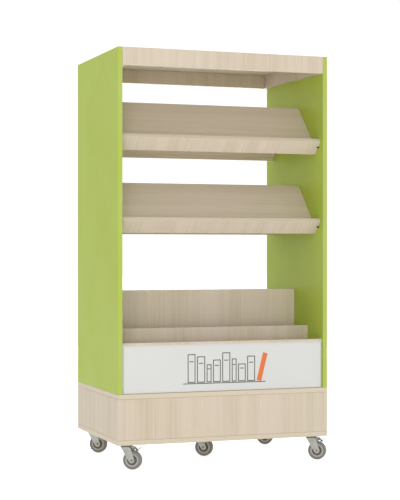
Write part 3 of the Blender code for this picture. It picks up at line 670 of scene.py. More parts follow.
def extruded(outline, half_width, edge):
    """A closed outline (x, z) carried across Y: two rings inset by the edge radius at each end.

    Each end closes in on the outline's middle. An inset ring lies an edge radius nearer to it.
    """
    outline = np.asarray(outline, float)
    middle = outline.mean(axis=0)
    spokes = outline - middle
    reach = np.linalg.norm(spokes, axis=1, keepdims=True)
    inset = middle + spokes * (1 - edge / reach)
    pole = np.broadcast_to(middle, outline.shape)
    bevel = middle + spokes * (1 - 0.3 * edge / reach)
    rings = [pole, inset, bevel, outline, outline, bevel, inset, pole]
    near = half_width - edge
    soft = half_width - 0.3 * edge
    across = [-half_width, -half_width, -soft, -near, near, soft, half_width, half_width]
    layers = [np.insert(ring, 1, y, axis=1) for ring, y in zip(rings, across)]
    return np.concatenate(layers), grid_quads(len(layers), len(outline), False, True)


def ruled_sheet(first, second, count):
    """The sheet of straight lines between two curves: first + (second - first) t."""
    t = np.linspace(0.0, 1.0, count)[None, :, None]
    points = first[:, None] + (second - first)[:, None] * t
    return points.reshape(-1, 3), grid_quads(len(first), count)


def rounded_box(half, radius, steps):
    """A box with rounded edges, face by face: (points, quads, flat coordinates, axis of each quad).

    A grid point on a face is clamped to the box shrunk by the radius, and the surface point lies a
    radius from there towards the grid point. Lines past the shrunk box stand at equal angles.
    """
    half = np.asarray(half, float)
    inner = half - radius
    past = radius * np.tan(np.linspace(0.0, math.pi / 4, steps + 1))
    parts = []
    flats = []
    axes = []
    for axis in range(3):
        a, b = (axis + 1) % 3, (axis + 2) % 3
        lines = []
        for k in (a, b):
            support = inner[k] - min(radius, inner[k] / 2)
            side = np.concatenate([[support], inner[k] + past])
            lines.append(np.concatenate([-side[::-1], side]))
        first, second = np.meshgrid(*lines, indexing="ij")
        for sign in (-1.0, 1.0):
            spot = np.empty(first.shape + (3,))
            spot[..., axis] = sign * half[axis]
            spot[..., a] = first
            spot[..., b] = second
            core = np.clip(spot, -inner, inner)
            out = spot - core
            out *= radius / np.linalg.norm(out, axis=-1, keepdims=True)
            quads = grid_quads(*first.shape)
            parts.append(((core + out).reshape(-1, 3), quads if sign > 0 else quads[:, ::-1]))
            flats.append(spot.reshape(-1, 3))
            axes.append(np.full(len(quads), axis))
    points, quads = join_surfaces(parts)
    return points, quads, np.concatenate(flats), np.concatenate(axes)


def quad_of_point(quads):
    """For each point, one quad that has it as a corner."""
    owner = np.empty(quads.max() + 1, int)
    owner[quads.ravel()] = np.repeat(np.arange(len(quads)), 4)
    return owner


CREASE = math.radians(35)       # edges sharper than this are shaded as edges
SAME_POINT = 1e-6               # points nearer than this are welded


class Maker:
    """Puts surfaces into meshes and hands them to the frame."""

    def __init__(self, context):
        self.settings = context.scene.book_cart
        self.finishes = Finishes(self.settings)

    def piece(self, name, surface, finishes, slot, body=CARCASE, stands_for=(), matrix=None,
              uv=None, index=None, shade=None, closed=True):
        """One named piece: its mesh, finishes, body and the nodes it stands for. The slot is not used.

        The matrix carries the surface to its place. The index gives each quad its finish, and the
        shade holds named values for the points. A closed surface gets its faces turned outwards.
        """
        points, quads = surface
        if matrix is not None:
            points = placed(points, matrix)
        mesh = bpy.data.meshes.new(name)
        mesh.from_pydata(points.tolist(), [], quads.tolist())
        if uv is not None:
            mesh.uv_layers.new(name=GRAIN_UV).data.foreach_set("uv", uv.ravel())
        if index is not None:
            mesh.polygons.foreach_set("material_index", index)
        for label, values in (shade or {}).items():
            layer = mesh.attributes.new(label, "FLOAT", "POINT")
            layer.data.foreach_set("value", np.asarray(values, np.float32))
        bm = bmesh.new()
        bm.from_mesh(mesh)
        bmesh.ops.remove_doubles(bm, verts=bm.verts, dist=SAME_POINT)
        if closed:
            bmesh.ops.recalc_face_normals(bm, faces=bm.faces)
        bm.to_mesh(mesh)
        bm.free()
        mesh.shade_smooth()
        mesh.set_sharp_from_angle(angle=CREASE)
        for finish in finishes:
            mesh.materials.append(self.finishes.get(finish))
        obj = bpy.data.objects.new(name, mesh)
        bpy.context.scene.collection.objects.link(obj)
        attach(obj, body)
        if stands_for:
            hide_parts(*stands_for)
        return obj


def thicken(obj, thickness, edge):
    """Gives a sheet its thickness about its middle and rounds its edges."""
    solid = obj.modifiers.new("Sheet", "SOLIDIFY")
    solid.thickness = thickness
    solid.offset = 0.0
    solid.use_even_offset = True
    rounding = obj.modifiers.new("Eased", "BEVEL")
    rounding.width = edge
    rounding.segments = 2
    rounding.limit_method = "ANGLE"
    rounding.angle_limit = math.radians(50)


# ----------------------------------------------------------------------------------------------
# Boards
# ----------------------------------------------------------------------------------------------

def solid_corners(node):
    """The points of a node's solid, one a row."""
    mesh = frame["nodes"][node].data
    corners = np.empty(len(mesh.vertices) * 3)
    mesh.vertices.foreach_get("co", corners)
    return corners.reshape(-1, 3)


def board_frame(node, tilt):
    """Turn of a board about X, its middle and its half size, from the corners of its solid."""
    turn = np.array(Matrix.Rotation(tilt, 3, "X"))
    flat = solid_corners(node) @ turn
    low, high = flat.min(axis=0), flat.max(axis=0)
    return turn, (low + high) / 2 @ turn.T, (high - low) / 2


def grain_directions(half, grain):
    """For each face axis of a board, the axis its grain runs along.

    The two large faces have the board's own grain; an edge band runs along its edge.
    """
    thin = int(np.argmin(half))
    directions = []
    for axis in range(3):
        others = [k for k in range(3) if k != axis]
        directions.append(grain if axis == thin else max(others, key=lambda k: half[k]))
    return thin, directions


def edge_rim(half, flat, axes, radius):
    """Rim value of each flat point: 1 - d / 2r, where d is its distance to the nearest edge."""
    away = np.asarray(half) - np.abs(flat)
    away[np.arange(len(flat)), axes] = np.inf
    return np.clip(1 - away.min(axis=1) / (2 * radius), 0.0, 1.0)


def build_board(maker, node, finishes, grain, number, tilt=0.0, radius=None, slot="wood_board",
                shape=None, banded_axes=(0, 1, 2)):
    """A laminated board in place of its solid, with its grain in metres in its UV map.

    The second finish is on the edges across the banded axes. Where all axes are banded it also
    covers the outer half of the rounding. The grain's start differs from board to board and from
    face to face.
    """
    boards = maker.settings.boards
    radius = radius or boards.edge_radius
    turn, middle, half = board_frame(node, tilt)
    points, quads, flat, axes = rounded_box(half, radius, boards.edge_steps)
    rim = edge_rim(half, flat, axes[quad_of_point(quads)], radius)
    thin, directions = grain_directions(half, grain)
    along = np.array(directions)[axes]
    across = 3 - axes - along
    corner = flat[quads]
    u = np.take_along_axis(corner, along[:, None, None], axis=2)[..., 0]
    v = np.take_along_axis(corner, across[:, None, None], axis=2)[..., 0]
    shift = 1.7 * number + 0.37 * axes[:, None]
    uv = np.stack([u + 2.3 * shift, v + shift], axis=-1)
    banded = np.isin(axes, banded_axes) & (axes != thin)
    if len(banded_axes) == 3:
        banded |= rim[quads].min(axis=1) > 0.49
    if shape is not None:
        points = shape(points, half)
    surface = (points @ turn.T + middle, quads)
    name = node + "_laminate"
    return maker.piece(name, surface, finishes, slot, stands_for=[node], uv=uv,
                       index=banded.astype(np.int32), shade={RIM: rim}, closed=False)


class BOOKCART_OT_wood_boards(bpy.types.Operator):
    """Plinth, top frame, sloping shelves and book bin, in maple laminate with edge bands"""

    bl_idname = "bookcart.wood_boards"
    bl_label = "Wood Boards"

    def execute(self, context):
        maker = Maker(context)
        tilt = maker.settings.boards.shelf_tilt
        upright = ["front_top_fascia", "rear_top_fascia", "left_top_rail", "right_top_rail"]
        upright += [f"base_{side}_skirt" for side in ("front", "rear", "left", "right")]
        upright += ["bin_centre_board"]
        upright += [f"bin_{side}_{kind}" for side in SIDES for kind in ("divider", "board")]
        boards = [(node, 2, 0.0) for node in upright]
        boards += [(node, 0, 0.0) for node in ("base_deck", "base_floor", "top_panel")]
        for level in LEVELS:
            for side, slope in (("front", tilt), ("rear", -tilt)):
                boards.append((f"{level}_{side}_display_board", 0, slope))
                boards.append((f"{level}_{side}_ledge_board", 2, slope))
        for number, (node, grain, slope) in enumerate(boards):
            build_board(maker, node, ("maple", "maple_band"), grain, number, slope)
        return {"FINISHED"}


class BOOKCART_OT_side_panels(bpy.types.Operator):
    """Green side panels with edge bands"""

    bl_idname = "bookcart.side_panels"
    bl_label = "Side Panels"

    def execute(self, context):
        maker = Maker(context)
        for number, node in enumerate(("left_side_panel", "right_side_panel")):
            build_board(maker, node, ("green", "green_band"), 2, number, slot="green_board")
        return {"FINISHED"}


# ----------------------------------------------------------------------------------------------
# Sign panels
# ----------------------------------------------------------------------------------------------

PRINT_LIFT = 0.0001         # printed layer above its panel
PRINT_HALF = 0.00006        # half its thickness
PRINT_CORNER = 0.0022       # rounding of a printed book's corners
PANEL_CORNER = 0.0008       # rounding of a sign panel's edges
BOOKS_SHARE = 0.80          # of the row's length; the gaps have the rest
BAND_HEIGHT = 0.72          # band across a printed book, as a share of its height
BAND_HALF_WIDTH = 0.55      # half its length, as a share of the book's half width
GROUND_PAST_ROW = 0.012     # the line under the books, past the row at each end


def bevelled(points, half, out, width):
    """The panel's face drawn in: by the bevel's width at the top and both ends, by none at the foot.

    With d from 0 at the panel's back to 1 at its face, w the bevel's width and a and c half the
    panel's length and height: x' = x (1 - w d / a), z' = z - w d (1 + z / c) / 2.
    """
    depth = (1 + out * points[:, 1] / half[1]) / 2
    x = points[:, 0] * (1 - width * depth / half[0])
    z = points[:, 2] - width * depth * (1 + points[:, 2] / half[2]) / 2
    return np.stack([x, points[:, 1], z], axis=1)


def frame_outline(half_x, half_z, line, lean, foot):
    """A printed rectangle's line as a closed ring: outer and inner corners, leaning about its foot."""
    corners = np.array([(-1.0, -1.0), (1.0, -1.0), (1.0, 1.0), (-1.0, 1.0)])
    turn = np.array(Matrix.Rotation(lean, 2))
    rings = []
    for inset in (0.0, line):
        ring = corners * (half_x - inset, half_z - inset) + (0.0, half_z)
        rings.append(soften(ring, PRINT_CORNER - inset * 0.4, 3) @ turn.T + foot)
    return rings


def book_row(signs):
    """The printed row: for each book its foot, half width, height, lean and whether it is filled.

    Widths and heights follow sines of the book's number, so that neighbours differ. The last book
    leans on its neighbour and is the filled one.
    """
    count = signs.books
    number = np.arange(count)
    width = 1.0 + 0.30 * np.sin(2.1 * number + 0.4)
    width *= BOOKS_SHARE * signs.row_length / width.sum()
    height = signs.tallest * (0.80 + 0.20 * np.sin(1.7 * number + 1.0))
    gap = (1 - BOOKS_SHARE) * signs.row_length / (count + 1)
    left = np.cumsum(width + gap) - width - signs.row_length / 2
    last = number == count - 1
    lean = np.where(last, math.radians(14), 0.0)
    return list(zip(left + width / 2, width / 2, height, lean, last))


class BOOKCART_OT_sign_panels(bpy.types.Operator):
    """White gloss panels on the bin, with a plain printed row of books"""

    bl_idname = "bookcart.sign_panels"
    bl_label = "Sign Panels"

    def execute(self, context):
        maker = Maker(context)
        signs = maker.settings.signs
        for number, side in enumerate(SIDES):
            node = f"{side}_sign_panel"
            out = -1.0 if side == "front" else 1.0
            # The end bevels get the second finish, which is the white in painted shade
            build_board(
                maker, node, ("white", "white_end_shaded"), 0, number, radius=PANEL_CORNER, slot="white_panel",
                shape=lambda points, half: bevelled(points, half, out, signs.bevel), banded_axes=(0,),
            )
            self.print_books(maker, signs, side, node, out)
        return {"FINISHED"}

    def print_books(self, maker, signs, side, node, out):
        """The print, as thin raised shapes just in front of the panel's face."""
        low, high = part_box(node)
        face = (low.y if out < 0 else high.y) + out * PRINT_LIFT
        base = (low.z + high.z) / 2 - signs.tallest / 2
        facing = Matrix.Translation((0.0, face, base))
        if out > 0:
            facing = facing @ Matrix.Rotation(math.pi, 4, "Z")
        lines = []
        fills = []
        for foot, half_x, height, lean, filled in book_row(signs):
            outer, inner = frame_outline(half_x, height / 2, signs.line, -lean, (foot, 0.0))
            if filled:
                fills.append(extruded(outer, PRINT_HALF, PRINT_HALF))
                continue
            levels = (-PRINT_HALF, -PRINT_HALF, PRINT_HALF, PRINT_HALF)
            loops = zip((outer, inner, inner, outer), levels)
            ring = np.concatenate([np.insert(loop, 1, y, axis=1) for loop, y in loops])
            lines.append((ring, grid_quads(4, len(outer), True, True)))
            left, right = foot - half_x * BAND_HALF_WIDTH, foot + half_x * BAND_HALF_WIDTH
            low_z = height * BAND_HEIGHT
            high_z = low_z + signs.line
            band = [(left, low_z), (right, low_z), (right, high_z), (left, high_z)]
            lines.append(extruded(soften(band, signs.line / 3, 2), PRINT_HALF, PRINT_HALF))
        reach = signs.row_length / 2 + GROUND_PAST_ROW
        ground, ground_quads = rounded_box((reach, PRINT_HALF, signs.line / 2), PRINT_HALF * 0.9, 2)[:2]
        lines.append((ground + (0.0, 0.0, -signs.line), ground_quads))
        for name, parts, finish in (("lines", lines, "ink"), ("book", fills, "accent")):
            surface = join_surfaces(parts)
            maker.piece(f"{side}_sign_{name}", surface, (finish,), "white_panel", matrix=facing)


# ----------------------------------------------------------------------------------------------
# Shelf pins
# ----------------------------------------------------------------------------------------------

PIN_RADIUS = 0.0028
PIN_REACH = 0.0090              # out of the side panel
LEDGE_PIN_FROM_TIP = 0.029
SLOPE_PINS = (0.026, 0.175)     # along the display board's back, from its lower end


class BOOKCART_OT_shelf_pins(bpy.types.Operator):
    """Dark pins in the side panels that carry the sloping shelves"""

    bl_idname = "bookcart.shelf_pins"
    bl_label = "Shelf Pins"

    def execute(self, context):
        maker = Maker(context)
        tilt = maker.settings.boards.shelf_tilt
        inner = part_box("right_side_panel")[0].x
        profile = [(0.0, 0.0), (PIN_RADIUS, 0.0), (PIN_RADIUS, PIN_REACH), (0.0, PIN_REACH)]
        peg, quads = turned(soften(profile, 0.0012, 4, False), 24, False)
        for level in LEVELS:
            for side, slope in (("front", tilt), ("rear", -tilt)):
                parts = []
                for spot in self.spots(level, side, slope):
                    for hand in (-1.0, 1.0):
                        lay = Matrix.Rotation(-hand * math.pi / 2, 4, "Y")
                        place = Matrix.Translation((hand * inner, spot[1], spot[2])) @ lay
                        parts.append((placed(peg, place), quads))
                surface = join_surfaces(parts)
                maker.piece(f"{level}_{side}_shelf_pins", surface, ("steel",), "dark_steel")
        return {"FINISHED"}

    def spots(self, level, side, slope):
        """Pin centres: one under the ledge's outer face, two under the display board's back."""
        way = 1.0 if side == "front" else -1.0
        turn, middle, half = board_frame(f"{level}_{side}_ledge_board", slope)
        tip = half[2] - LEDGE_PIN_FROM_TIP
        found = [middle + turn @ (0.0, -way * (half[1] + PIN_RADIUS), tip)]
        turn, middle, half = board_frame(f"{level}_{side}_display_board", slope)
        for along in SLOPE_PINS:
            found.append(middle + turn @ (0.0, way * (along - half[1]), -half[2] - PIN_RADIUS))
        return found


# ----------------------------------------------------------------------------------------------
# Casters. A caster's own frame: the floor under the king pin, +X along the trail, +Y along the axle.
# ----------------------------------------------------------------------------------------------

def caster_matrix(place):
    """The caster's own frame, from its swivel and wheel joints."""
    pin = Vector(JOINTS[place + "_swivel_turn"]["pos_m"])
    hub = Vector(JOINTS[place + "_wheel_roll"]["pos_m"])
    trail = Vector((hub.x - pin.x, hub.y - pin.y, 0.0)).normalized()
    up = Vector((0.0, 0.0, 1.0))
    matrix = Matrix((trail, up.cross(trail), up)).transposed().to_4x4()
    matrix.translation = (pin.x, pin.y, 0.0)
    return matrix


def caster_box(place, node):
    """Lowest and highest corner of a caster's solid, in the caster's own frame."""
    own = placed(solid_corners(f"{place}_{node}"), caster_matrix(place).inverted())
    return own.min(axis=0), own.max(axis=0)


def caster_hub(place):
    """Wheel axis behind the king pin, and the wheel's radius."""
    hub = caster_matrix(place).inverted() @ Vector(JOINTS[place + "_wheel_roll"]["pos_m"])
    return hub.x, hub.z


def wheel_matrix(place):
    """Frame of a turned wheel piece: its axis along the axle, its middle at the wheel's."""
    reach, radius = caster_hub(place)
    lay = Matrix.Rotation(math.pi / 2, 4, "X")
    return caster_matrix(place) @ Matrix.Translation((reach, 0.0, radius)) @ lay


PRESS_FIT = 0.0002          # the tyre grips the core by this much each way
CORNER_EASE = 0.0007        # rounding of the moulded wheel's corners
RING_FROM_SEAT = 0.0026     # the tyre's side ring, out from the core
AXLE_BORE = 0.0043
RIM_INSET = 0.0020          # core's rim behind the ends of its hub
STEP_BESIDE_TYRE = 0.0022   # width of the low step at the core's rim


class BOOKCART_OT_wheels(bpy.types.Operator):
    """Rubber tyres and moulded wheel cores"""

    bl_idname = "bookcart.wheels"
    bl_label = "Wheels"

    def execute(self, context):
        maker = Maker(context)
        for place in PLACES:
            self.tyre(maker, place)
            self.core(maker, place)
        return {"FINISHED"}

    def tyre(self, maker, place):
        """Tyre: flat, slightly crowned tread, quarter-ellipse shoulders and a moulded side ring."""
        casters = maker.settings.casters
        radius = caster_hub(place)[1]
        half = caster_box(place, "tyre")[1][1]
        seat = caster_box(place, "wheel_core")[1][2] - radius - PRESS_FIT
        flat = casters.tread_flat / 2
        side = [(seat, half - CORNER_EASE), (seat + CORNER_EASE, half)]
        ring = seat + RING_FROM_SEAT
        side += [(ring - 0.0004, half), (ring, half - 0.0005), (ring + 0.0004, half)]
        angle = np.linspace(0.0, math.pi / 2, 9)
        shoulder = np.stack([
            radius - casters.shoulder * (1 - np.sin(angle)),
            flat + (half - flat) * np.cos(angle),
        ], axis=1)
        crown = np.array([(radius, flat * 0.6), (radius, 0.0006), (radius - 0.00025, 0.0002)])
        profile = mirrored_profile(np.concatenate([side, shoulder, crown]))
        near_tread = np.clip((profile[:, 0] - (radius - 0.0035)) / 0.003, 0.0, 1.0)
        dust = near_tread * 0.55 + 0.08
        maker.piece(
            f"{place}_tyre_rubber", turned(profile, casters.steps, True), ("tyre",), "tyre",
            f"{place}_wheel", [f"{place}_tyre"], wheel_matrix(place),
            shade={GRIME_AND_SHADE: np.tile(dust, casters.steps)},
        )

    def core(self, maker, place):
        """Core: hub, thin web and broad rim with a turned step, every corner rounded."""
        casters = maker.settings.casters
        high = caster_box(place, "wheel_core")[1]
        half_hub = high[1]
        rim = high[2] - caster_hub(place)[1] + PRESS_FIT
        half_rim = half_hub - RIM_INSET
        half_web = casters.web / 2
        hub = casters.hub
        recess = casters.recess
        upper = [(AXLE_BORE, half_hub), (hub - 0.001, half_hub)]
        upper += [(hub, half_web + 0.0008), (hub + 0.0016, half_web)]
        upper += [(recess - 0.0018, half_web), (recess - 0.0006, half_web + 0.0012)]
        upper += [(recess + 0.0004, half_rim - 0.0010), (recess + 0.0014, half_rim)]
        upper += [(rim - STEP_BESIDE_TYRE, half_rim)]
        upper += [(radius, half_rim - CORNER_EASE) for radius in (rim - STEP_BESIDE_TYRE + 0.0004, rim)]
        profile = soften(mirrored_profile(upper), CORNER_EASE, 3)
        # Painted shade: the recess gets darker the deeper a point lies in it, and this also stands for
        # grime
        deep = np.clip((half_rim - 0.0008 - np.abs(profile[:, 1])) / 0.003, 0.0, 1.0)
        grime = np.tile(deep * (profile[:, 0] < recess + 0.001), casters.steps)
        maker.piece(
            f"{place}_core_moulding", turned(profile, casters.steps, True), ("core",), "wheel_core",
            f"{place}_wheel", [f"{place}_wheel_core"], wheel_matrix(place), shade={GRIME_AND_SHADE: grime},
        )


FORK_EDGE = 0.0005          # rounding of the bent strip's edges
ROUND_END = 0.62 * math.pi  # of a leg, from its lowest point
EAR_RADIUS = 0.0060
EAR_ROOT = 0.0105           # start of the ears behind the king pin
EAR_DEPTH = 0.0084          # of their root, down from the fork's top
EAR_UNDER_TOP = 0.0006
EAR_SHEET = 0.0020
EAR_SPREAD = 0.0063         # each ear's inner face from the middle
EAR_EDGE = 0.0004


def touch_point(point, centre, radius, side):
    """Where a line from a point outside touches a circle, on the given side."""
    dx, dz = point[0] - centre[0], point[1] - centre[1]
    angle = math.atan2(dz, dx) + side * math.acos(radius / math.hypot(dx, dz))
    return centre[0] + radius * math.cos(angle), centre[1] + radius * math.sin(angle)


def fork_edges(casters, hub, top, levels):
    """Front and back edge of a leg at each height.

    Each edge follows the round end up to the point where its straight side touches it. The front
    side runs to the nose, the back side to the shoulder and from there to the fork's top.
    """
    radius = casters.leg_end
    nose = (-casters.nose, top)
    shoulder = (casters.shoulder_reach, top - casters.shoulder_drop)
    front_touch = touch_point(nose, hub, radius, 1.0)
    back_touch = touch_point(shoulder, hub, radius, -1.0)
    round_part = np.sqrt(np.maximum(radius ** 2 - (levels - hub[1]) ** 2, 0.0))
    front = np.interp(levels, [front_touch[1], top], [front_touch[0], nose[0]])
    front = np.where(levels < front_touch[1], hub[0] - round_part, front)
    heights = [back_touch[1], shoulder[1], top]
    back = np.interp(levels, heights, [back_touch[0], shoulder[0], casters.back])
    back = np.where(levels < back_touch[1], hub[0] + round_part, back)
    return front, back


class BOOKCART_OT_forks(bpy.types.Operator):
    """Forks bent from one strip of zinc-plated steel, with brake ears at the front"""

    bl_idname = "bookcart.forks"
    bl_label = "Forks"

    def execute(self, context):
        maker = Maker(context)
        for place in PLACES:
            self.fork(maker, place)
            if place in BRAKED:
                self.ears(maker, place)
        return {"FINISHED"}

    def fork(self, maker, place):
        """A strip that runs up one leg, round a bend, over the top and down the other leg.

        Its lines across stand closer on the leg's round end. The top's back edge bulges from the
        legs to the yoke as a squared cosine.
        """
        casters = maker.settings.casters
        reach, radius = caster_hub(place)
        high = caster_box(place, "caster_fork")[1]
        top = high[2] - casters.sheet / 2
        wide = high[1] - casters.sheet / 2
        bend = casters.bend
        turn = np.linspace(0.0, math.pi / 2, 7)
        end = casters.leg_end
        round_levels = radius - end * np.cos(np.linspace(0.0, ROUND_END, 22))
        straight = np.linspace(round_levels[-1], top - casters.shoulder_drop, 8)[1:]
        upper = np.linspace(straight[-1], top - bend, 4)[1:]
        levels = np.concatenate([round_levels, straight, upper])
        y = np.concatenate([np.full(len(levels), -wide), -wide + bend * (1 - np.cos(turn[1:]))])
        z = np.concatenate([levels, top - bend * (1 - np.sin(turn[1:]))])
        front, back = fork_edges(casters, (reach, radius), top, z)
        across = np.linspace(y[-1], 0.0, 6)[1:]
        bulge = (casters.yoke - casters.back) * np.cos(across / y[-1] * math.pi / 2) ** 2
        y = np.concatenate([y, across])
        z = np.concatenate([z, np.full(len(across), top)])
        front = np.concatenate([front, np.full(len(across), front[-1])])
        back = np.concatenate([back, casters.back + bulge])
        half = [np.stack([x, y, z], axis=1) for x in (front, back)]
        whole = [np.concatenate([side, (side * (1.0, -1.0, 1.0))[-2::-1]]) for side in half]
        obj = maker.piece(
            f"{place}_fork_strip", ruled_sheet(whole[0], whole[1], 9), ("zinc",), "zinc_steel",
            f"{place}_swivel", [f"{place}_caster_fork"], caster_matrix(place),
        )
        thicken(obj, casters.sheet, FORK_EDGE)

    def ears(self, maker, place):
        """Two plates from under the fork's top out to the brake's pivot."""
        casters = maker.settings.casters
        matrix = caster_matrix(place)
        pivot = matrix.inverted() @ Vector(JOINTS[place + "_brake_press"]["pos_m"])
        top = caster_box(place, "caster_fork")[1][2] - EAR_UNDER_TOP
        angle = np.linspace(-math.pi / 2, math.pi / 2, 14)
        arc = EAR_RADIUS * np.stack([np.cos(angle), np.sin(angle)], axis=1) + (pivot.x, pivot.z)
        start = np.array([(EAR_ROOT, top), (EAR_ROOT, top - EAR_DEPTH)])
        outline = np.concatenate([start, arc, [(casters.yoke, top)]])
        plate, quads = extruded(resample_ring(outline, 72), EAR_SHEET / 2, EAR_EDGE)
        offset = np.array((0.0, EAR_SPREAD + EAR_SHEET / 2, 0.0))
        surface = join_surfaces([(plate + side * offset, quads) for side in (-1.0, 1.0)])
        maker.piece(f"{place}_brake_ears", surface, ("zinc",), "zinc_steel", f"{place}_swivel",
                    matrix=matrix)


BARREL_RADIUS = 0.0042
BARREL_END_GAP = 0.0005                 # to each ear
BRAKE_STROKE = math.radians(12.0)
SHOE_ANGLE = math.radians(25.0)         # of the pressed shoe, back from the top of the wheel
SHOE_CLEARANCE = 0.0008                 # left to the tyre with the pedal down
SHOE_THICKNESS = 0.0032
SHOE_LENGTH = 0.0110
LEVER_SHEET = 0.0020
LEVER_WIDTH = 0.0110
LEVER_BEND = 0.0040                     # how far a bend reaches along the lever
LEVER_PATH = ((0.0, 0.0005), (0.0065, -0.0010), (0.0132, -0.0046), (0.0275, 0.0046))
WIDENING = (0.0125, 0.0045)             # start and length of the widening, along the lever
PEDAL_WIDTH = 0.0216
PEDAL_CORNER = 0.0040
RIBS_START = 0.0185                     # along the lever
RIBS_END = 0.0015                       # short of its tip
RIB_FADE = 0.0010
RIB_HEIGHT = 0.00028
RIB_PITCH = 0.0022


class BOOKCART_OT_brakes(bpy.types.Operator):
    """Foot brakes: lever with a ribbed pedal, shoe, barrel and pin"""

    bl_idname = "bookcart.brakes"
    bl_label = "Foot Brakes"

    def execute(self, context):
        maker = Maker(context)
        for place in BRAKED:
            matrix = caster_matrix(place)
            pivot = matrix.inverted() @ Vector(JOINTS[place + "_brake_press"]["pos_m"])
            here = matrix @ Matrix.Translation((pivot.x, 0.0, pivot.z))
            self.lever(maker, place, here)
            self.shoe(maker, place, here, pivot)
            self.pin(maker, place, here)
        return {"FINISHED"}

    def lever(self, maker, place, here):
        """A strip along a bent path, wider at the pedal, whose surface has cross ribs.

        Ribs are a sine along the pedal. The width grows from the lever's to the pedal's past the
        dip and closes in a quarter circle at the tip.
        """
        path = resample(soften(LEVER_PATH, LEVER_BEND, 8, False), 90)
        run = np.concatenate([[0.0], np.cumsum(np.linalg.norm(np.diff(path, axis=0), axis=1))])
        left = run[-1] - run
        grow = np.clip((run - WIDENING[0]) / WIDENING[1], 0.0, 1.0)
        width = LEVER_WIDTH + (PEDAL_WIDTH - LEVER_WIDTH) * grow * grow * (3 - 2 * grow)
        corner = np.clip(PEDAL_CORNER - left, 0.0, PEDAL_CORNER)
        width = width - 2 * (PEDAL_CORNER - np.sqrt(PEDAL_CORNER ** 2 - corner ** 2))
        slope = np.gradient(path, axis=0)
        slope /= np.linalg.norm(slope, axis=1, keepdims=True)
        normal = np.stack([-slope[:, 1], slope[:, 0]], axis=1)
        on_pad = np.clip((run - RIBS_START) / RIB_FADE, 0.0, 1.0)
        on_pad = on_pad * np.clip((left - RIBS_END) / RIB_FADE, 0.0, 1.0)
        ribs = RIB_HEIGHT * np.sin(run / RIB_PITCH * 2 * math.pi) * on_pad
        path = path + normal * ribs[:, None]
        sides = [np.stack([path[:, 0], hand * width / 2, path[:, 1]], axis=1) for hand in (-1.0, 1.0)]
        obj = maker.piece(
            f"{place}_brake_lever", ruled_sheet(sides[0], sides[1], 7), ("worn_zinc",), "zinc_steel",
            f"{place}_brake", [f"{place}_brake_pedal"], here,
        )
        thicken(obj, LEVER_SHEET, 0.0004)

    def shoe(self, maker, place, here, pivot):
        """Shoe and web: the face is an arc about the wheel's axis when the pedal is down."""
        reach, radius = caster_hub(place)
        turn = np.array(Matrix.Rotation(BRAKE_STROKE, 2))
        hub = turn @ (reach - pivot.x, radius - pivot.z)
        near = radius + SHOE_CLEARANCE
        spread = SHOE_LENGTH / 2 / near
        face = math.pi / 2 - SHOE_ANGLE + BRAKE_STROKE
        swing = np.linspace(spread, -spread, 12) + face
        low = hub + near * np.stack([np.cos(swing), np.sin(swing)], axis=1)
        high = hub + (near + SHOE_THICKNESS) * np.stack([np.cos(swing), np.sin(swing)], axis=1)[::-1]
        pad = resample(soften(np.concatenate([low, high]), 0.0008, 3), 80)
        at_barrel = [(BARREL_RADIUS * 0.8, 0.0), (-BARREL_RADIUS * 0.5, 0.0)]
        web = np.array([low[3], low[8], high[1], *at_barrel, high[8]])
        web = resample(soften(web, 0.0006, 3), 60)
        half = LEVER_WIDTH / 2
        surface = join_surfaces([extruded(pad, half, 0.0006), extruded(web, half * 0.45, 0.0004)])
        maker.piece(f"{place}_brake_shoe", surface, ("worn_zinc",), "zinc_steel", f"{place}_brake",
                    matrix=here)

    def pin(self, maker, place, here):
        """Barrel between the ears and a riveted pin with domed heads outside them."""
        lay = here @ Matrix.Rotation(math.pi / 2, 4, "X")
        half = EAR_SPREAD - BARREL_END_GAP
        profile = [(0.0, half), (BARREL_RADIUS, half), (BARREL_RADIUS, -half), (0.0, -half)]
        barrel = turned(soften(profile, 0.0006, 3, False), 40, False)
        maker.piece(f"{place}_brake_barrel", barrel, ("zinc",), "zinc_steel", f"{place}_brake",
                    matrix=lay)
        dome = np.array([(0.0, 0.0), (0.0033, 0.0), (0.0033, 0.0005), (0.0024, 0.0012), (0.0, 0.0015)])
        dome = soften(dome + (0.0, EAR_SPREAD + EAR_SHEET + 0.0002), 0.0006, 3, False)
        heads = join_surfaces([turned(dome * (1.0, hand), 32, False) for hand in (-1.0, 1.0)])
        maker.piece(f"{place}_brake_pin", heads, ("steel",), "dark_steel", f"{place}_brake", matrix=lay)


PLATE_SHEET = 0.0025
PLATE_CORNER = 0.0080
SCREW_INSET = 0.0100            # in from the plate's edges
SCREW_HEAD = (
    (0.0, -0.0008), (0.0012, -0.0008), (0.0020, -0.0021),
    (0.0036, -0.0018), (0.0044, -0.0006), (0.0044, 0.0),
)
KING_PIN_HEAD = ((0.0, 0.0), (0.0078, 0.0002), (0.0084, 0.0012), (0.0084, 0.0024), (0.0, 0.0028))
RACE_LEVELS = (0.0, 0.0, 0.42, 0.48, 0.58, 0.64, 1.0, 1.0)      # as shares of the race's height
RACE_INSETS = (0.004, 0.0, 0.0, 0.0022, 0.0022, 0.0006, 0.0006, 0.0045)
RACE_BORE = 0.0055
WASHER_BORE = 0.0030
WASHER_SHEET = 0.0008
RIVET_SHANK = 0.0040
RIVET_HEAD = ((0.0, -0.0009), (0.0014, -0.0008), (0.0022, 0.0), (0.0034, -0.0004), (0.0043, -0.0013))


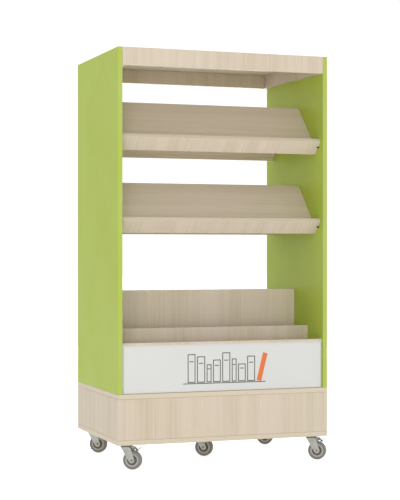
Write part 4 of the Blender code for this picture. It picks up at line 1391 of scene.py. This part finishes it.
class BOOKCART_OT_bearings(bpy.types.Operator):
    """Top plates with their screws, ball races, king pin heads and wheel axles"""

    bl_idname = "bookcart.bearings"
    bl_label = "Plates and Bearings"

    def execute(self, context):
        maker = Maker(context)
        for place in PLACES:
            self.plate(maker, place)
            self.race(maker, place)
            self.axle(maker, place)
        return {"FINISHED"}

    def plate(self, maker, place):
        """Rounded plate, four pan-head screws under it and the riveted head of the king pin."""
        low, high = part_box(f"{place}_caster_plate")
        x, y = (low.x + high.x) / 2, (low.y + high.y) / 2
        half = (high.x - low.x) / 2
        square = soften([(half, half), (-half, half), (-half, -half), (half, -half)], PLATE_CORNER, 8)
        square = resample_ring(square, 96)
        middle = Matrix.Translation((x, y, high.z - PLATE_SHEET / 2))
        maker.piece(
            f"{place}_top_plate", extruded(square, PLATE_SHEET / 2, 0.0005), ("zinc",), "zinc_steel",
            stands_for=[f"{place}_caster_plate"], matrix=middle @ Matrix.Rotation(math.pi / 2, 4, "X"),
        )
        screw, quads = turned(soften(SCREW_HEAD, 0.0005, 2, False), 28, False)
        reach = half - SCREW_INSET
        spots = [(sx * reach, sy * reach) for sx in (-1, 1) for sy in (-1, 1)]
        parts = [(screw + (x + dx, y + dy, high.z - PLATE_SHEET), quads) for dx, dy in spots]
        maker.piece(f"{place}_plate_screws", join_surfaces(parts), ("steel",), "dark_steel",
                    closed=False)
        points, quads = turned(soften(KING_PIN_HEAD, 0.0012, 4, False), 40, False)
        maker.piece(f"{place}_king_pin_head", (points + (x, y, low.z), quads), ("steel",), "dark_steel")

    def race(self, maker, place):
        """Two pressed cups with a groove between them where the balls run."""
        low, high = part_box(f"{place}_caster_race")
        x, y = (low.x + high.x) / 2, (low.y + high.y) / 2
        radius = (high.x - low.x) / 2
        tall = high.z - low.z
        outer = np.stack([radius - np.array(RACE_INSETS), np.array(RACE_LEVELS) * tall], axis=1)
        inner = [(RACE_BORE, tall), (RACE_BORE, 0.0)]
        profile = soften(np.concatenate([outer, inner]), 0.0004, 3)
        points, quads = turned(profile, 72, True)
        maker.piece(f"{place}_ball_race", (points + (x, y, low.z), quads), ("worn_zinc",), "dark_steel",
                    stands_for=[f"{place}_caster_race"])

    def axle(self, maker, place):
        """Axle with a washer and a riveted, dimpled head outside each leg."""
        low, high = caster_box(place, "axle")
        edge = (high[2] - low[2]) / 2 - 0.0002
        leg = caster_box(place, "caster_fork")[1][1]
        matrix = wheel_matrix(place)
        near = leg + 0.0001
        far = near + WASHER_SHEET
        washer = soften([(WASHER_BORE, near), (edge, near), (edge, far), (WASHER_BORE, far)], 0.0003, 3)
        washers = join_surfaces([turned(washer * (1.0, hand), 48, True) for hand in (-1.0, 1.0)])
        maker.piece(f"{place}_axle_washers", washers, ("zinc",), "zinc_steel", f"{place}_swivel",
                    matrix=matrix)
        head = np.array(RIVET_HEAD) + (0.0, high[1])
        upper = np.concatenate([head, [(RIVET_SHANK, leg - 0.0005)]])
        rivet = turned(soften(mirrored_profile(upper), 0.0005, 3, False), 48, False)
        maker.piece(f"{place}_axle_rivet", rivet, ("worn_zinc",), "dark_steel", f"{place}_swivel",
                    [f"{place}_axle"], matrix)


# ----------------------------------------------------------------------------------------------
# Stage
# ----------------------------------------------------------------------------------------------

LIGHTS = (
    # name, place, size, whether it shows in glossy surfaces
    ("key", (-2.2, -6.2, 1.1), 3.6, False),
    ("fill", (-6.0, -1.0, 1.4), 4.0, True),
    ("back", (-4.6, 4.4, 1.8), 3.0, True),
    ("rear", (2.0, 6.2, 1.5), 3.6, True),
    ("top", (0.0, 0.0, 5.0), 4.0, True),
)
FLOOR_RINGS = 9
FLOOR_DROP = 0.0002         # the floor lies this far under the wheels


class BOOKCART_OT_stage(bpy.types.Operator):
    """Camera, pale floor and soft studio light"""

    bl_idname = "bookcart.stage"
    bl_label = "Stage"

    def execute(self, context):
        stage = context.scene.book_cart.stage
        self.camera(context, stage)
        self.floor(context, stage)
        self.world(context, stage)
        for name, place, size, glossy in LIGHTS:
            self.soft_light(context, name, getattr(stage, name), place, size, glossy)
        context.scene.view_settings.view_transform = "Standard"
        return {"FINISHED"}

    def camera(self, context, stage):
        """Level camera, looking past the left front corner of the cart."""
        data = bpy.data.cameras.new("camera")
        data.sensor_width = 36.0
        data.lens = stage.lens
        data.clip_end = 200.0
        obj = bpy.data.objects.new("camera", data)
        context.scene.collection.objects.link(obj)
        obj.location = stage.eye
        obj.rotation_euler = (math.pi / 2, 0.0, stage.heading)
        context.scene.camera = obj

    def floor(self, context, stage):
        """A round pale floor: rings about the cart, each half the size of the next."""
        rings = stage.floor_size * 0.5 ** np.arange(FLOOR_RINGS - 1, -1, -1)
        radii = np.concatenate([[0.0], rings])
        profile = np.stack([radii, np.full(len(radii), -FLOOR_DROP)], axis=1)
        points, quads = turned(profile, 64, False)
        mesh = bpy.data.meshes.new("floor")
        mesh.from_pydata(points.tolist(), [], quads.tolist())
        bm = bmesh.new()
        bm.from_mesh(mesh)
        bmesh.ops.remove_doubles(bm, verts=bm.verts, dist=1e-5)
        bm.to_mesh(mesh)
        bm.free()
        material = bpy.data.materials.new("pale_floor")
        material.use_nodes = True
        shader = material.node_tree.nodes["Principled BSDF"]
        shader.inputs["Base Color"].default_value = (*stage.floor, 1.0)
        shader.inputs["Roughness"].default_value = 0.9
        shader.inputs["Specular IOR Level"].default_value = 0.1
        shader.inputs["Emission Color"].default_value = (1.0, 1.0, 1.0, 1.0)
        tree = material.node_tree
        seen_directly = add_node(tree, "LightPath").outputs["Is Camera Ray"]
        glow = maths(tree, "MULTIPLY_ADD", seen_directly, stage.white, stage.glow)
        tree.links.new(glow, shader.inputs["Emission Strength"])
        mesh.materials.append(material)
        obj = bpy.data.objects.new("floor", mesh)
        context.scene.collection.objects.link(obj)

    def world(self, context, stage):
        """Even white light from all round, and a white background."""
        world = bpy.data.worlds.new("studio")
        world.use_nodes = True
        background = world.node_tree.nodes["Background"]
        background.inputs["Color"].default_value = (1.0, 1.0, 1.0, 1.0)
        tree = world.node_tree
        seen_directly = add_node(tree, "LightPath").outputs["Is Camera Ray"]
        strength = maths(tree, "MULTIPLY_ADD", seen_directly, stage.white, stage.sky)
        tree.links.new(strength, background.inputs["Strength"])
        context.scene.world = world

    def soft_light(self, context, name, power, place, size, glossy):
        """A large square light that faces the middle of the cart."""
        data = bpy.data.lights.new(name + "_light", "AREA")
        data.energy = power
        data.size = size
        obj = bpy.data.objects.new(name + "_light", data)
        context.scene.collection.objects.link(obj)
        obj.location = place
        obj.visible_camera = False
        obj.visible_glossy = glossy
        middle = (CAD_BOX[0] + CAD_BOX[1]) / 2
        obj.rotation_euler = (middle - obj.location).to_track_quat("-Z", "Y").to_euler()


# ----------------------------------------------------------------------------------------------
# Add-on
# ----------------------------------------------------------------------------------------------

STEPS = (
    BOOKCART_OT_stage,
    BOOKCART_OT_wood_boards,
    BOOKCART_OT_side_panels,
    BOOKCART_OT_sign_panels,
    BOOKCART_OT_shelf_pins,
    BOOKCART_OT_wheels,
    BOOKCART_OT_forks,
    BOOKCART_OT_brakes,
    BOOKCART_OT_bearings,
)


class BOOKCART_PT_sidebar(bpy.types.Panel):
    """The steps that build the cart, and its settings"""

    bl_idname = "BOOKCART_PT_sidebar"
    bl_label = "Book Cart"
    bl_space_type = "VIEW_3D"
    bl_region_type = "UI"
    bl_category = "Book Cart"

    def draw(self, context):
        for step in STEPS:
            self.layout.operator(step.bl_idname)
        settings = context.scene.book_cart
        for group in (settings.boards, settings.signs, settings.casters, settings.stage):
            box = self.layout.box()
            for name in group.bl_rna.properties.keys():
                if name not in ("rna_type", "name"):
                    box.prop(group, name)


CLASSES = (
    BoardSettings, SignSettings, CasterSettings, StageSettings, BookCartSettings,
    *STEPS, BOOKCART_PT_sidebar,
)


def register():
    """Registers the classes and hangs the settings on the scene."""
    for entry in CLASSES:
        bpy.utils.register_class(entry)
    bpy.types.Scene.book_cart = PointerProperty(type=BookCartSettings)


def unregister():
    """Takes the settings and classes away again."""
    del bpy.types.Scene.book_cart
    for entry in reversed(CLASSES):
        bpy.utils.unregister_class(entry)


def main():
    """Builds the whole cart."""
    register()
    for step in STEPS:
        getattr(bpy.ops.bookcart, step.bl_idname.split(".")[1])()


if __name__ == "__main__":
    main()
